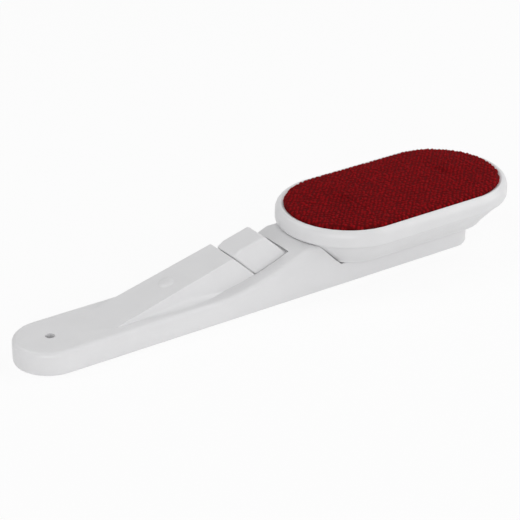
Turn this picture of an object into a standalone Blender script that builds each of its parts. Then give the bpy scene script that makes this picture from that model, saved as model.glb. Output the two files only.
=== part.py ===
"""Electric clothes brush with a turning velour pad, made of separate pieces.

Metres, Z up. The origin lies on the flat underside, on the axis that the pad turns about.
X runs from the handle towards the tip of the head, and Y runs across the brush.
"""
import math

import bmesh
import bpy
from mathutils import Matrix, Vector

MM = 0.001

# Casing
BODY_WIDTH = 34.9 * MM
HANDLE_HEIGHT = 11.4 * MM
HANDLE_LENGTH = 44.7 * MM
TIP_REACH = 40.5 * MM
TIP_CORNER = 11.3 * MM
WALL = 1.8 * MM
TOP_ROUND = 2.2 * MM
BOTTOM_ROUND = 1.0 * MM
CASE_GAP = 0.3 * MM
FIT = 0.3 * MM
SCREW_FIT = 0.25 * MM
OVERRUN = 6.0 * MM
EMBED = 0.9 * MM

# Neck, which rises from the handle to just under the rim of the head
NECK_SETBACK = 1.1 * MM
NECK_SLOPE = math.radians(20.9)
NECK_BLEND = 123.0 * MM

# Hump, the wedge on the handle that holds the cell
HUMP_SETBACK = 38.8 * MM
HUMP_LENGTH = 66.4 * MM
HUMP_SLOPE = math.radians(13.95)
HUMP_WIDTH = 19.8 * MM
HUMP_FOOT_WIDTH = 21.8 * MM
HUMP_ROUND = 0.7 * MM
HUMP_FLARE = 4.2 * MM
NUB_SETBACK = 31.3 * MM
NUB_RADIUS = 4.2 * MM
NUB_HEIGHT = 0.8 * MM
NUB_FOOT_SHARE = 2.0

# Hang hole
HANG_HOLE_RADIUS = 2.3 * MM
HANG_BOSS_WALL = 1.7 * MM

# Thumb button, which slides down and forward between two parallel raked faces
BUTTON_RAKE = math.radians(44.0)
BUTTON_LENGTH = 17.1 * MM
BUTTON_GAP = 0.2 * MM
BUTTON_WIDTH = 19.0 * MM
BUTTON_DRAFT = math.radians(7.4)
BUTTON_ROUND = 1.1 * MM
BUTTON_WALL = 1.5 * MM
BUTTON_NOSE_DROP = 1.7 * MM
BUTTON_NOSE_LENGTH = 4.4 * MM
BUTTON_TRAVEL = 1.2 * MM
SLOT_GAP = 1.2 * MM
GUIDE_INSET = 0.9 * MM
GUIDE_WIDTH = 1.2 * MM
GUIDE_HEIGHT = 0.8 * MM
GUIDE_SIDE_GAP = 0.5 * MM
GUIDE_CAP = 1.2 * MM
FLANGE_LIP = 1.1 * MM
FLANGE_THICK = 1.2 * MM
POST_RADIUS = 2.2 * MM
COLLAR_RADIUS = 5.2 * MM
COLLAR_THICK = 1.2 * MM
TIP_RADIUS = 1.5 * MM
TIP_LENGTH = 1.2 * MM

# Switch under the button
PLUNGER_RADIUS = 1.6 * MM
PLUNGER_LENGTH = 1.7 * MM
PLUNGER_DEPTH = 1.6 * MM
SWITCH_SIDE = 6.0 * MM
SWITCH_HEIGHT = 3.6 * MM
SWITCH_ROUND = 0.3 * MM
BOARD_LENGTH = 13.5 * MM
BOARD_THICK = 1.2 * MM
BOARD_RIB = 1.6 * MM
BUTTON_SPRING_RADIUS = 4.9 * MM
BUTTON_SPRING_WIRE = 0.3 * MM
BUTTON_SPRING_TURNS = 3.5

# Base plate
PLATE_THICK = 2.4 * MM
DOOR_THICK = 1.2 * MM
DOOR_MARGIN = 3.0 * MM
DOOR_SIDE_MARGIN = 2.6 * MM
DOOR_TRAVEL = 4.0 * MM
DOOR_REST = 0.15 * MM
TONGUE_WIDTH = 1.8 * MM
TONGUE_LENGTH = 2.6 * MM
TONGUE_THICK = 0.8 * MM
GROOVE_WIDTH = 1.2 * MM
GROOVE_DEPTH = 0.4 * MM
GROOVE_PITCH = 3.0 * MM
GROOVE_COUNT = 4

# Cell and its contacts
CELL_RADIUS = 5.25 * MM
CELL_BODY = 43.7 * MM
CELL_NUB = 0.8 * MM
CELL_NUB_RADIUS = 1.9 * MM
CELL_SETBACK = 6.9 * MM
CELL_ROUND = 0.4 * MM
CONTACT_SIDE = 8.0 * MM
CONTACT_THICK = 0.4 * MM
CONTACT_ROOM = 1.3 * MM
CONTACT_SPRING_LENGTH = 3.6 * MM
CONTACT_SPRING_WIRE = 0.3 * MM
CONTACT_SPRING_RADIUS = 3.4 * MM
CONTACT_SPRING_TIP = 2.0 * MM
CONTACT_SPRING_TURNS = 3
PARTITION_THICK = 1.4 * MM

# Screws that hold the base plate, and the posts that they run into
HANDLE_SCREW_INSET = 31.2 * MM
NECK_SCREW_INSET = 3.6 * MM
NECK_SCREW_OFFSET = 10.6 * MM
DECK_SCREW_SETBACK = 18.0 * MM
DECK_SCREW_SIDE_INSET = 8.05 * MM
TIP_SCREW_INSET = 11.0 * MM
SCREW_HEAD_RADIUS = 2.5 * MM
SCREW_HEAD_THICK = 1.0 * MM
SCREW_RADIUS = 1.2 * MM
SCREW_LENGTH = 6.2 * MM
SCREW_SINK = 0.3 * MM
SCREW_CROSS = 0.7 * MM
SCREW_CROSS_DEPTH = 0.5 * MM
SCREW_POST_WALL = 1.4 * MM

# Vibration motor under the deck
MOTOR_ROOM = 0.8 * MM
MOTOR_LENGTH = 12.0 * MM
MOTOR_REACH = 29.0 * MM
MOTOR_CAP_LENGTH = 1.4 * MM
MOTOR_SHAFT_RADIUS = 0.5 * MM
MOTOR_SHAFT_LENGTH = 7.0 * MM
MOTOR_BUSH_DEPTH = 3.0 * MM
WEIGHT_LENGTH = 4.6 * MM
WEIGHT_INSET = 0.2 * MM
WEIGHT_HUB = 1.1 * MM
SADDLE_THICK = 2.0 * MM
SADDLE_WALL = 2.2 * MM
SADDLE_FLOOR = 0.5 * MM
SADDLE_SHARES = (0.22, 0.78)

# Head, a stadium in plan: two half circles pulled apart by HEAD_HALF each way
HEAD_HALF = 28.5 * MM
PEDESTAL_TAPER = 10.5 * MM
PEDESTAL_ROUND = 1.6 * MM
PEDESTAL_WALL = 1.8 * MM
PEDESTAL_GAP = 0.2 * MM
RIM_UNDERSIDE = 25.0 * MM
RIM_TOP = 33.9 * MM
RIM_RADIUS = 35.8 * MM
RIM_OVERHANG = 1.4 * MM
RIM_FOOT_ROUND = 1.5 * MM
RIM_CROWN_HEIGHT = 4.2 * MM
RIM_WIDTH = 4.3 * MM
RIM_LIP = 1.4 * MM
RIM_SKIRT = 1.9 * MM
RIM_FLANGE = 1.5 * MM
RIM_FLANGE_REACH = 6.2 * MM
RIM_SCREW_INSET = 3.0 * MM
RIM_SCREW_LENGTH = 3.4 * MM
PAD_PLATE_THICK = 2.0 * MM
FOAM_EDGE = 2.4 * MM
FOAM_INSET = 1.6 * MM
FOAM_CROWN = 1.2 * MM
VELOUR_THICK = 1.1 * MM
VELOUR_RISE = 0.3 * MM
VELOUR_CROWN = 1.5 * MM
VELOUR_ROUND = 1.7 * MM
CROWN_SHARES = (0.3, 0.6, 0.85, 1.0)
HEAD_SCREW_INSET = 7.5 * MM
HEAD_SCREW_SIDE_INSET = 5.45 * MM
HEAD_SCREW_LENGTH = 7.0 * MM
HEAD_BOSS_WALL = 1.5 * MM

# Pivot that the rim and pad turn on
PIVOT_RADIUS = 5.0 * MM
PIVOT_FLANGE_RADIUS = 8.5 * MM
PIVOT_FLANGE_THICK = 1.6 * MM
PIVOT_BORE_DEPTH = 9.0 * MM
HUB_WALL = 2.2 * MM
WASHER_RADIUS = 7.5 * MM
WASHER_THICK = 1.0 * MM
PIVOT_SCREW_RADIUS = 1.6 * MM
PIVOT_SCREW_HEAD_RADIUS = 3.6 * MM
PIVOT_SCREW_HEAD_THICK = 2.0 * MM
PIVOT_SCREW_LENGTH = 9.0 * MM

# Leads inside the casing: points measured from the hump's end, then from the motor's back
LEAD_RADIUS = 0.5 * MM
LEAD_STEPS = 2
NEGATIVE_LEAD = (
    (-55.2 * MM, -4.3 * MM, 5.5 * MM),
    (-54.7 * MM, -7.6 * MM, 5.2 * MM),
    (-49.9 * MM, -9.9 * MM, 4.6 * MM),
    (-34.9 * MM, -10.2 * MM, 4.4 * MM),
    (-16.9 * MM, -10.5 * MM, 4.6 * MM),
    (-5.5 * MM, -10.6 * MM, 5.0 * MM),
    (3.6 * MM, -5.4 * MM, 5.0 * MM),
    (13.1 * MM, -6.2 * MM, 4.2 * MM),
)
NEGATIVE_LEAD_END = (
    (-36.0 * MM, -8.0 * MM, 3.4 * MM),
    (-21.0 * MM, -7.2 * MM, 3.8 * MM),
    (-10.0 * MM, -4.2 * MM, 4.4 * MM),
    (-2.1 * MM, -1.3 * MM, 5.6 * MM),
)
POSITIVE_LEAD = (
    (-6.4 * MM, 4.8 * MM, 3.4 * MM),
    (-4.5 * MM, 5.0 * MM, 3.3 * MM),
    (-0.4 * MM, 4.6 * MM, 3.5 * MM),
    (7.1 * MM, 4.6 * MM, 4.2 * MM),
    (16.1 * MM, 5.8 * MM, 6.4 * MM),
    (23.3 * MM, 6.6 * MM, 9.4 * MM),
    (26.8 * MM, 6.6 * MM, 7.7 * MM),
)
MOTOR_LEAD = (
    (28.9 * MM, 4.0 * MM, 5.6 * MM),
    (31.3 * MM, 4.1 * MM, 4.3 * MM),
    (37.1 * MM, 4.5 * MM, 3.7 * MM),
)
MOTOR_LEAD_END = (
    (-16.0 * MM, 4.3 * MM, 3.9 * MM),
    (-8.0 * MM, 2.8 * MM, 4.6 * MM),
    (-2.1 * MM, 1.3 * MM, 5.6 * MM),
)

# Mesh density and welding
WELD = 0.00001
ROUND_STEPS = 20
FINE_STEPS = 40
SMALL_STEPS = 12
ARC_STEPS = 10
CORNER_STEPS = 6
PROFILE_STEPS = 5
SHARP_ANGLE = math.radians(35)
TOP_EDGE_ANGLE = math.radians(50)
COIL_STEPS = 12

# Sizes that follow from the ones above
HALF_WIDTH = BODY_WIDTH / 2
DECK_CEILING = HANDLE_HEIGHT - WALL
MOTOR_BOTTOM = PLATE_THICK + SADDLE_FLOOR + FIT
MOTOR_RADIUS = (DECK_CEILING - MOTOR_ROOM - MOTOR_BOTTOM) / 2
MOTOR_START = -MOTOR_REACH - MOTOR_LENGTH
WEIGHT_RADIUS = MOTOR_RADIUS - WEIGHT_INSET
HEAD_REACH = HEAD_HALF + RIM_RADIUS
NECK_TOP = RIM_UNDERSIDE - FIT
NECK_LENGTH = (NECK_TOP - HANDLE_HEIGHT) / math.tan(NECK_SLOPE)
NECK_FOOT_REACH = HEAD_REACH + NECK_SETBACK + NECK_LENGTH
HUMP_END_REACH = HEAD_REACH + HUMP_SETBACK
HUMP_START_REACH = HUMP_END_REACH + HUMP_LENGTH
HUMP_RISE = HUMP_LENGTH * math.tan(HUMP_SLOPE)
HUMP_TOP = HANDLE_HEIGHT + HUMP_RISE
NUB_REACH = HUMP_END_REACH + NUB_SETBACK
HANDLE_REACH = HUMP_START_REACH + HANDLE_LENGTH
END_CENTRE_X = HALF_WIDTH - HANDLE_REACH
CELL_END_REACH = HUMP_END_REACH + CELL_SETBACK
HANDLE_SCREW_REACH = HANDLE_REACH - HANDLE_SCREW_INSET
NECK_SCREW_REACH = HUMP_END_REACH - NECK_SCREW_INSET
DECK_SCREW_REACH = HEAD_HALF + DECK_SCREW_SETBACK
DECK_SCREW_Y = HALF_WIDTH - DECK_SCREW_SIDE_INSET
TIP_SCREW_REACH = TIP_REACH - TIP_SCREW_INSET
PEDESTAL_HIGH_RADIUS = RIM_RADIUS - RIM_OVERHANG
PEDESTAL_LOW_RADIUS = PEDESTAL_HIGH_RADIUS - PEDESTAL_TAPER
PEDESTAL_BOTTOM = HANDLE_HEIGHT + FIT
PEDESTAL_TOP = RIM_UNDERSIDE - FIT
FLOOR_TOP = PEDESTAL_BOTTOM + PEDESTAL_WALL
FLANGE_BOTTOM = RIM_UNDERSIDE + RIM_SKIRT
FLANGE_TOP = FLANGE_BOTTOM + RIM_FLANGE
RIM_MOUTH_RADIUS = RIM_RADIUS - RIM_WIDTH
RIM_LIP_RADIUS = RIM_MOUTH_RADIUS + RIM_LIP
PAD_PLATE_BOTTOM = FLANGE_TOP + FIT
PAD_PLATE_TOP = PAD_PLATE_BOTTOM + PAD_PLATE_THICK
PAD_PLATE_RADIUS = RIM_MOUTH_RADIUS - FIT
HEAD_SCREW_X = HEAD_HALF - HEAD_SCREW_INSET
HEAD_SCREW_Y = HALF_WIDTH - HEAD_SCREW_SIDE_INSET
HEAD_SCREW_BOTTOM = DECK_CEILING - FIT - SCREW_HEAD_THICK
HEAD_SCREW_TOP = DECK_CEILING - FIT + HEAD_SCREW_LENGTH
RIM_SCREW_Y = PAD_PLATE_RADIUS - RIM_SCREW_INSET
RIM_SCREW_BOTTOM = FLANGE_BOTTOM - FIT - SCREW_HEAD_THICK
PIVOT_SEAT = PAD_PLATE_TOP - WASHER_THICK - PIVOT_SCREW_HEAD_THICK - 4 * FIT
PARTS = "clothes_brush"
TOOLS = "shaping_tools"


def clear_scene():
    for item in list(bpy.data.objects):
        bpy.data.objects.remove(item, do_unlink=True)


def make_collection(name):
    group = bpy.data.collections.new(name)
    bpy.context.scene.collection.children.link(group)
    return group


def make_material(name, colour, roughness, metallic=0.0):
    material = bpy.data.materials.new(name)
    material.use_nodes = True
    shader = material.node_tree.nodes["Principled BSDF"]
    shader.inputs["Base Color"].default_value = (*colour, 1.0)
    shader.inputs["Roughness"].default_value = roughness
    shader.inputs["Metallic"].default_value = metallic
    material.diffuse_color = (*colour, 1.0)
    return material


def add_part(name, mesh, look, origin=(0.0, 0.0, 0.0), parent=None):
    """A named piece whose mesh is given in world space, with its own material and origin."""
    mesh.name = name
    mesh.transform(Matrix.Translation(-Vector(origin)))
    mesh.materials.clear()
    mesh.materials.append(make_material(name + "_look", *look))
    mesh.shade_smooth()
    mesh.set_sharp_from_angle(angle=SHARP_ANGLE)
    part = bpy.data.objects.new(name, mesh)
    bpy.data.collections[PARTS].objects.link(part)
    part.location = Vector(origin)
    if parent is not None:
        part.parent = parent
        part.matrix_parent_inverse = Matrix.Translation(-parent.location)
    return part


def add_tool(name, mesh):
    """A shape that only cuts, joins or guides other pieces."""
    mesh.name = name
    tool = bpy.data.objects.new(name, mesh)
    bpy.data.collections[TOOLS].objects.link(tool)
    tool.hide_render = True
    tool.display_type = "WIRE"
    return tool


def add_axis(name, location):
    """An empty on a joint axis, which the moving pieces are parented to."""
    axis = bpy.data.objects.new(name, None)
    axis.empty_display_size = HALF_WIDTH
    axis.location = location
    bpy.data.collections[TOOLS].objects.link(axis)
    return axis


def combine(target, operation, tool, solver="EXACT"):
    modifier = target.modifiers.new(tool.name, "BOOLEAN")
    modifier.operation = operation
    modifier.object = tool
    modifier.solver = solver


def combine_many(target, operation, tool):
    """The same on a piece with many cuts in one flat face, where exact cuts leave open slivers."""
    combine(target, operation, tool, "MANIFOLD")


def soften(target, width, segments, angle=SHARP_ANGLE):
    modifier = target.modifiers.new("rounding", "BEVEL")
    modifier.width = width
    modifier.segments = segments
    modifier.limit_method = "ANGLE"
    modifier.angle_limit = angle


def evaluated_mesh(source):
    """The welded mesh of a curve or a modified object, in world space; the source is removed."""
    graph = bpy.context.evaluated_depsgraph_get()
    mesh = bpy.data.meshes.new_from_object(source.evaluated_get(graph))
    mesh.transform(source.matrix_world)
    bpy.data.objects.remove(source, do_unlink=True)
    shape = bmesh.new()
    shape.from_mesh(mesh)
    bmesh.ops.remove_doubles(shape, verts=shape.verts, dist=WELD)
    shape.to_mesh(mesh)
    shape.free()
    return mesh


def linked_temporary(data):
    item = bpy.data.objects.new("temporary", data)
    bpy.context.scene.collection.objects.link(item)
    bpy.context.view_layer.update()
    return item


def prism(outline, low, high, rounding=0.0):
    """A flat outline in X and Y, filled and raised from low to high, with rounded ends."""
    curve = bpy.data.curves.new("outline", "CURVE")
    curve.dimensions = "2D"
    curve.fill_mode = "BOTH"
    curve.extrude = (high - low) / 2 - rounding
    curve.bevel_depth = rounding
    curve.offset = -rounding
    curve.bevel_resolution = 1
    spline = curve.splines.new("POLY")
    spline.points.add(len(outline) - 1)
    for point, (x, y) in zip(spline.points, outline):
        point.co = (x, y, 0.0, 1.0)
    spline.use_cyclic_u = True
    mesh = evaluated_mesh(linked_temporary(curve))
    mesh.transform(Matrix.Translation((0.0, 0.0, (low + high) / 2)))
    return mesh


def side_prism(outline, half_depth):
    """An outline in X and Z, carried across the brush from -half_depth to half_depth in Y."""
    mesh = prism(outline, -half_depth, half_depth)
    mesh.transform(Matrix.Rotation(math.radians(90), 4, "X"))
    return mesh


def turned(profile, steps=ROUND_STEPS):
    """A solid turned about Z from (radius, height) points that run down its outer side."""
    mesh = bpy.data.meshes.new("profile")
    points = [(radius, 0.0, height) for radius, height in profile]
    edges = [(i, i + 1) for i in range(len(points) - 1)]
    if profile[0][0] > 0.0 or profile[-1][0] > 0.0:
        edges.append((len(points) - 1, 0))
    mesh.from_pydata(points, edges, [])
    item = linked_temporary(mesh)
    screw = item.modifiers.new("turn", "SCREW")
    screw.angle = math.tau
    screw.steps = steps
    screw.render_steps = steps
    screw.use_merge_vertices = True
    screw.merge_threshold = WELD
    return evaluated_mesh(item)


def rod(radius, low, high, steps=ROUND_STEPS):
    return turned([(0.0, high), (radius, high), (radius, low), (0.0, low)], steps)


def ring(inner, outer, low, high, steps=ROUND_STEPS):
    return turned([(inner, high), (outer, high), (outer, low), (inner, low)], steps)


def pulled_ring(profile, closed):
    """A turned shape cut through its axis and pulled apart along X, so it is a stadium in plan.

    A closed profile gives a ring. An open one is capped by a flat face at each end.
    """
    shape = bmesh.new()
    half_step = math.pi / FINE_STEPS
    first = [
        shape.verts.new((r * math.cos(half_step), r * math.sin(half_step), z))
        for r, z in profile
    ]
    pairs = list(zip(first, first[1:]))
    if closed:
        pairs.append((first[-1], first[0]))
    edges = [shape.edges.new(pair) for pair in pairs]
    bmesh.ops.spin(
        shape,
        geom=first + edges,
        cent=(0.0, 0.0, 0.0),
        axis=(0.0, 0.0, 1.0),
        angle=math.tau,
        steps=FINE_STEPS,
        use_merge=True,
    )
    bmesh.ops.remove_doubles(shape, verts=shape.verts, dist=WELD)
    for vert in shape.verts:
        vert.co.x += math.copysign(HEAD_HALF, vert.co.x)
    if not closed:
        open_edges = [edge for edge in shape.edges if edge.is_boundary]
        bmesh.ops.edgeloop_fill(shape, edges=open_edges)
    bmesh.ops.recalc_face_normals(shape, faces=shape.faces)
    mesh = bpy.data.meshes.new("pulled_ring")
    shape.to_mesh(mesh)
    shape.free()
    return mesh


def block(low, high):
    """A box between two opposite corners."""
    shape = bmesh.new()
    size = Vector(high) - Vector(low)
    centre = (Vector(high) + Vector(low)) / 2
    matrix = Matrix.Translation(centre) @ Matrix.Diagonal((*size, 1.0))
    bmesh.ops.create_cube(shape, size=1.0, matrix=matrix)
    mesh = bpy.data.meshes.new("block")
    shape.to_mesh(mesh)
    shape.free()
    return mesh


def outward(mesh):
    """The same closed mesh with all its faces turned outwards."""
    shape = bmesh.new()
    shape.from_mesh(mesh)
    bmesh.ops.recalc_face_normals(shape, faces=shape.faces)
    shape.to_mesh(mesh)
    shape.free()
    return mesh


def merged(meshes):
    """Several separate closed shapes in one mesh, for use as one tool."""
    shape = bmesh.new()
    for mesh in meshes:
        shape.from_mesh(mesh)
    result = bpy.data.meshes.new("merged")
    shape.to_mesh(result)
    shape.free()
    return result


def moved(mesh, x=0.0, y=0.0, z=0.0):
    mesh.transform(Matrix.Translation((x, y, z)))
    return mesh


def laid_along_x(mesh, x, y, z):
    """A shape turned about Z, laid down with its low end towards the handle."""
    mesh.transform(Matrix.Translation((x, y, z)) @ Matrix.Rotation(math.radians(90), 4, "Y"))
    return mesh


def arc(centre_x, centre_y, radius, start, end, steps):
    return [
        (
            centre_x + radius * math.cos(start + (end - start) * i / steps),
            centre_y + radius * math.sin(start + (end - start) * i / steps),
        )
        for i in range(steps + 1)
    ]


def wire(points, radius, resolution):
    """A round wire with flat capped ends along a list of points."""
    curve = bpy.data.curves.new("wire", "CURVE")
    curve.dimensions = "3D"
    curve.bevel_depth = radius
    curve.bevel_resolution = resolution
    curve.use_fill_caps = True
    spline = curve.splines.new("POLY")
    spline.points.add(len(points) - 1)
    for point, place in zip(spline.points, points):
        point.co = (*place, 1.0)
    return evaluated_mesh(linked_temporary(curve))


def smooth_route(points, steps_each):
    """Points along a smooth curve that passes through all the given ones."""
    ends = [points[0], *points, points[-1]]
    route = []
    for before, start, end, after in zip(ends, ends[1:], ends[2:], ends[3:]):
        before, start, end, after = (Vector(p) for p in (before, start, end, after))
        for step in range(steps_each):
            t = step / steps_each
            route.append(
                start * (2 * t**3 - 3 * t**2 + 1)
                + end * (3 * t**2 - 2 * t**3)
                + (end - before) / 2 * (t**3 - 2 * t**2 + t)
                + (after - start) / 2 * (t**3 - t**2)
            )
    route.append(Vector(points[-1]))
    return route


def coil(low_radius, high_radius, length, turns, wire_radius):
    """A spring along Z from a wide foot at zero to its top at length."""
    count = int(turns * COIL_STEPS)
    points = []
    for i in range(count + 1):
        share = i / count
        radius = low_radius + (high_radius - low_radius) * share
        turn = math.tau * turns * share
        height = wire_radius + (length - 2 * wire_radius) * share
        points.append((radius * math.cos(turn), radius * math.sin(turn), height))
    return wire(points, wire_radius, 1)


def plan_outline(inset):
    """The casing seen from above, drawn in by inset: round at the handle, corners at the tip."""
    corner = TIP_CORNER - inset
    corner_x = TIP_REACH - TIP_CORNER
    corner_y = HALF_WIDTH - TIP_CORNER
    quarter = math.pi / 2
    end = arc(END_CENTRE_X, 0.0, HALF_WIDTH - inset, quarter, 3 * quarter, 2 * ARC_STEPS)
    near = arc(corner_x, -corner_y, corner, -quarter, 0.0, CORNER_STEPS)
    far = arc(corner_x, corner_y, corner, 0.0, quarter, CORNER_STEPS)
    return end + near + far


def neck_line(depth):
    """The top of the casing seen from the side, at a depth under the outer surface."""
    tangent = NECK_BLEND * math.tan(NECK_SLOPE / 2)
    start_x = -NECK_FOOT_REACH - tangent
    centre_z = HANDLE_HEIGHT + NECK_BLEND
    down = -math.pi / 2
    blend = arc(start_x, centre_z, NECK_BLEND + depth, down, down + NECK_SLOPE, CORNER_STEPS)
    last_x, last_z = blend[-1]
    shoulder_z = NECK_TOP - depth
    shoulder_x = last_x + (shoulder_z - last_z) / math.tan(NECK_SLOPE)
    return blend + [(shoulder_x, shoulder_z)]


def side_outline(depth, bottom):
    far_left = -HANDLE_REACH - OVERRUN
    far_right = TIP_REACH + OVERRUN
    top = [(far_left, HANDLE_HEIGHT - depth)] + neck_line(depth)
    top.append((far_right, NECK_TOP - depth))
    return [(far_right, bottom), (far_left, bottom)][::-1] + top[::-1]


def rake_point(across, along):
    """A point on the raked faces: across goes from the hump to the head, along goes down."""
    sine = math.sin(BUTTON_RAKE)
    cosine = math.cos(BUTTON_RAKE)
    x = -HUMP_END_REACH + across * sine + along * cosine
    z = HUMP_TOP + across * cosine - along * sine
    return x, z


def ramp_along(across, depth=0.0):
    """How far down the rake the ramp's plane lies, at a depth under it."""
    angle = BUTTON_RAKE + HUMP_SLOPE
    return (across * math.cos(angle) + depth) / math.sin(angle)


def neck_along(across, depth):
    """How far down the rake the neck's slope lies, at a depth under it."""
    angle = BUTTON_RAKE + NECK_SLOPE
    reach = NECK_FOOT_REACH - HUMP_END_REACH
    height = HUMP_RISE * math.cos(NECK_SLOPE) - reach * math.sin(NECK_SLOPE)
    return (height + across * math.cos(angle) + depth) / math.sin(angle)


def raked(mesh, across, along):
    """Stands a shape turned about Z on the button's axis, with its top towards the button."""
    x, z = rake_point(across, along)
    tilt = Matrix.Rotation(BUTTON_RAKE - math.pi / 2, 4, "Y")
    mesh.transform(Matrix.Translation((x, 0.0, z)) @ tilt)
    return mesh


def hump_outline(depth, foot):
    """The hump from the side, its ramp and its raked end drawn in by depth."""
    angle = HUMP_SLOPE
    start_x = -HUMP_START_REACH + depth / math.sin(angle) - depth / math.tan(angle)
    ramp_foot_x = start_x - (HANDLE_HEIGHT - foot - depth) / math.tan(angle)
    peak = rake_point(-depth, ramp_along(-depth, depth))
    drop = (peak[1] - foot) / math.sin(BUTTON_RAKE)
    heel = rake_point(-depth, ramp_along(-depth, depth) + drop)
    return [(ramp_foot_x, foot), heel, peak]


def hump_ceiling(x):
    """The height of the ramp's inner face."""
    ramp = HANDLE_HEIGHT + (x + HUMP_START_REACH) * math.tan(HUMP_SLOPE)
    return ramp - WALL / math.cos(HUMP_SLOPE)


def hump_half_width(x):
    share = (x + HUMP_START_REACH) / HUMP_LENGTH
    return (HUMP_FOOT_WIDTH + (HUMP_WIDTH - HUMP_FOOT_WIDTH) * share) / 2


def hump_solid(depth, foot):
    """The hump down to a foot, a little wider at its start, all drawn in by depth."""
    mesh = side_prism(hump_outline(depth, foot), HUMP_WIDTH / 2)
    for vert in mesh.vertices:
        vert.co.y = math.copysign(hump_half_width(vert.co.x) - depth, vert.co.y)
    return mesh


def hump_flares():
    """The hollow round along each foot of the hump, which fades out towards both ends."""
    first_x = -HUMP_START_REACH
    last_x = rake_point(0.0, HUMP_RISE / math.sin(BUTTON_RAKE))[0]
    middle_x = (first_x + last_x) / 2
    hollow = arc(HUMP_FLARE, HUMP_FLARE, HUMP_FLARE, math.pi, 1.5 * math.pi, ARC_STEPS // 2)
    section = [(-EMBED, HUMP_FLARE)] + hollow + [(HUMP_FLARE, -EMBED), (-EMBED, -EMBED)]
    flares = []
    for side in (-1, 1):
        points = [
            (middle_x, side * (hump_half_width(middle_x) + out), HANDLE_HEIGHT + up)
            for out, up in section
        ]
        for x in (first_x, last_x):
            inside = hump_half_width(x) - EMBED / 2
            points.append((x, side * inside, HANDLE_HEIGHT - EMBED / 2))
        count = len(section)
        faces = []
        for i in range(count):
            following = (i + 1) % count
            faces.append((i, following, count))
            faces.append((following, i, count + 1))
        mesh = bpy.data.meshes.new("flare")
        mesh.from_pydata(points, [], faces)
        flares.append(outward(mesh))
    return merged(flares)


def pedestal_radius(height):
    """The pedestal's outer radius at a height above the ground."""
    share = (height - PEDESTAL_BOTTOM) / (RIM_UNDERSIDE - PEDESTAL_BOTTOM)
    return PEDESTAL_LOW_RADIUS + (PEDESTAL_HIGH_RADIUS - PEDESTAL_LOW_RADIUS) * share


def pedestal_space(clearance, low, high):
    """The room that the pedestal needs in the neck, widened by a clearance."""
    radius_high = pedestal_radius(high) + clearance
    radius_low = pedestal_radius(low) + clearance
    return pulled_ring([(radius_high, high), (radius_low, low)], False)


def case_screw_places():
    """One screw in the handle, two in the neck, two before the head and one in the tip."""
    return [
        (-HANDLE_SCREW_REACH, 0.0),
        (-NECK_SCREW_REACH, -NECK_SCREW_OFFSET),
        (-NECK_SCREW_REACH, NECK_SCREW_OFFSET),
        (-DECK_SCREW_REACH, -DECK_SCREW_Y),
        (-DECK_SCREW_REACH, DECK_SCREW_Y),
        (TIP_SCREW_REACH, 0.0),
    ]


def head_screw_places():
    """Four screws that hold the pedestal on the deck."""
    return [(x * HEAD_SCREW_X, y * HEAD_SCREW_Y) for x in (-1, 1) for y in (-1, 1)]


def rim_screw_places():
    """Four screws that hold the rim against the pad plate."""
    return [(x * HEAD_SCREW_X, y * RIM_SCREW_Y) for x in (-1, 1) for y in (-1, 1)]


def rods_at(places, radius, low, high):
    rods = [moved(rod(radius, low, high, SMALL_STEPS), x, y) for x, y in places]
    return merged(rods)


def screw_cylinders(radius, low, high):
    return rods_at(case_screw_places(), radius, low, high)


def roof_height(x):
    """The casing's top over a screw post: level on the handle and deck, rising in between."""
    reach = x + NECK_FOOT_REACH + NECK_BLEND * math.tan(NECK_SLOPE / 2)
    if reach < 0.0 or x > -HEAD_HALF - PEDESTAL_HIGH_RADIUS:
        return HANDLE_HEIGHT
    return HANDLE_HEIGHT + NECK_BLEND - math.sqrt(NECK_BLEND**2 - reach**2)


def case_posts():
    """The posts that hang from the casing's roof, one over each screw."""
    radius = SCREW_RADIUS + SCREW_POST_WALL
    posts = []
    for x, y in case_screw_places():
        top = roof_height(x - radius) - WALL / 2
        posts.append(moved(rod(radius, PLATE_THICK + FIT, top, SMALL_STEPS), x, y))
    return merged(posts)


def casing_cavity():
    """The hollow inside the casing, open at the bottom."""
    plan = add_tool("cavity", prism(plan_outline(WALL), -OVERRUN, NECK_TOP))
    side = add_tool("cavity_side", side_prism(side_outline(WALL, -2 * OVERRUN), BODY_WIDTH))
    combine_many(plan, "INTERSECT", side)
    space = pedestal_space(PEDESTAL_GAP + WALL, DECK_CEILING, NECK_TOP + OVERRUN)
    combine_many(plan, "DIFFERENCE", add_tool("cavity_end", space))
    hump = hump_solid(WALL, DECK_CEILING - EMBED)
    combine_many(plan, "UNION", add_tool("cavity_hump", hump))
    return plan


def button_pocket():
    """The raked opening that the button slides in, which also cuts the hump's end face."""
    front = 0.0
    back = BUTTON_GAP + BUTTON_LENGTH + SLOT_GAP
    top = -OVERRUN
    bottom = neck_along(back, WALL) + OVERRUN / 2
    corners = [(front, top), (front, bottom), (back, bottom), (back, top)]
    outline = [rake_point(across, along) for across, along in corners]
    return side_prism(outline, BUTTON_WIDTH / 2 + BUTTON_GAP)


def partition(x_low, x_high):
    """A wall across the hump that a cell contact stands against."""
    z_low = PLATE_THICK + FIT + TONGUE_THICK + 2 * FIT
    slope = math.tan(HUMP_SLOPE)
    z_high = HANDLE_HEIGHT + (x_low + HUMP_START_REACH) * slope - WALL / 2
    half = hump_half_width(x_low) - WALL / 2
    return block((x_low, -half, z_low), (x_high, half, z_high))


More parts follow.
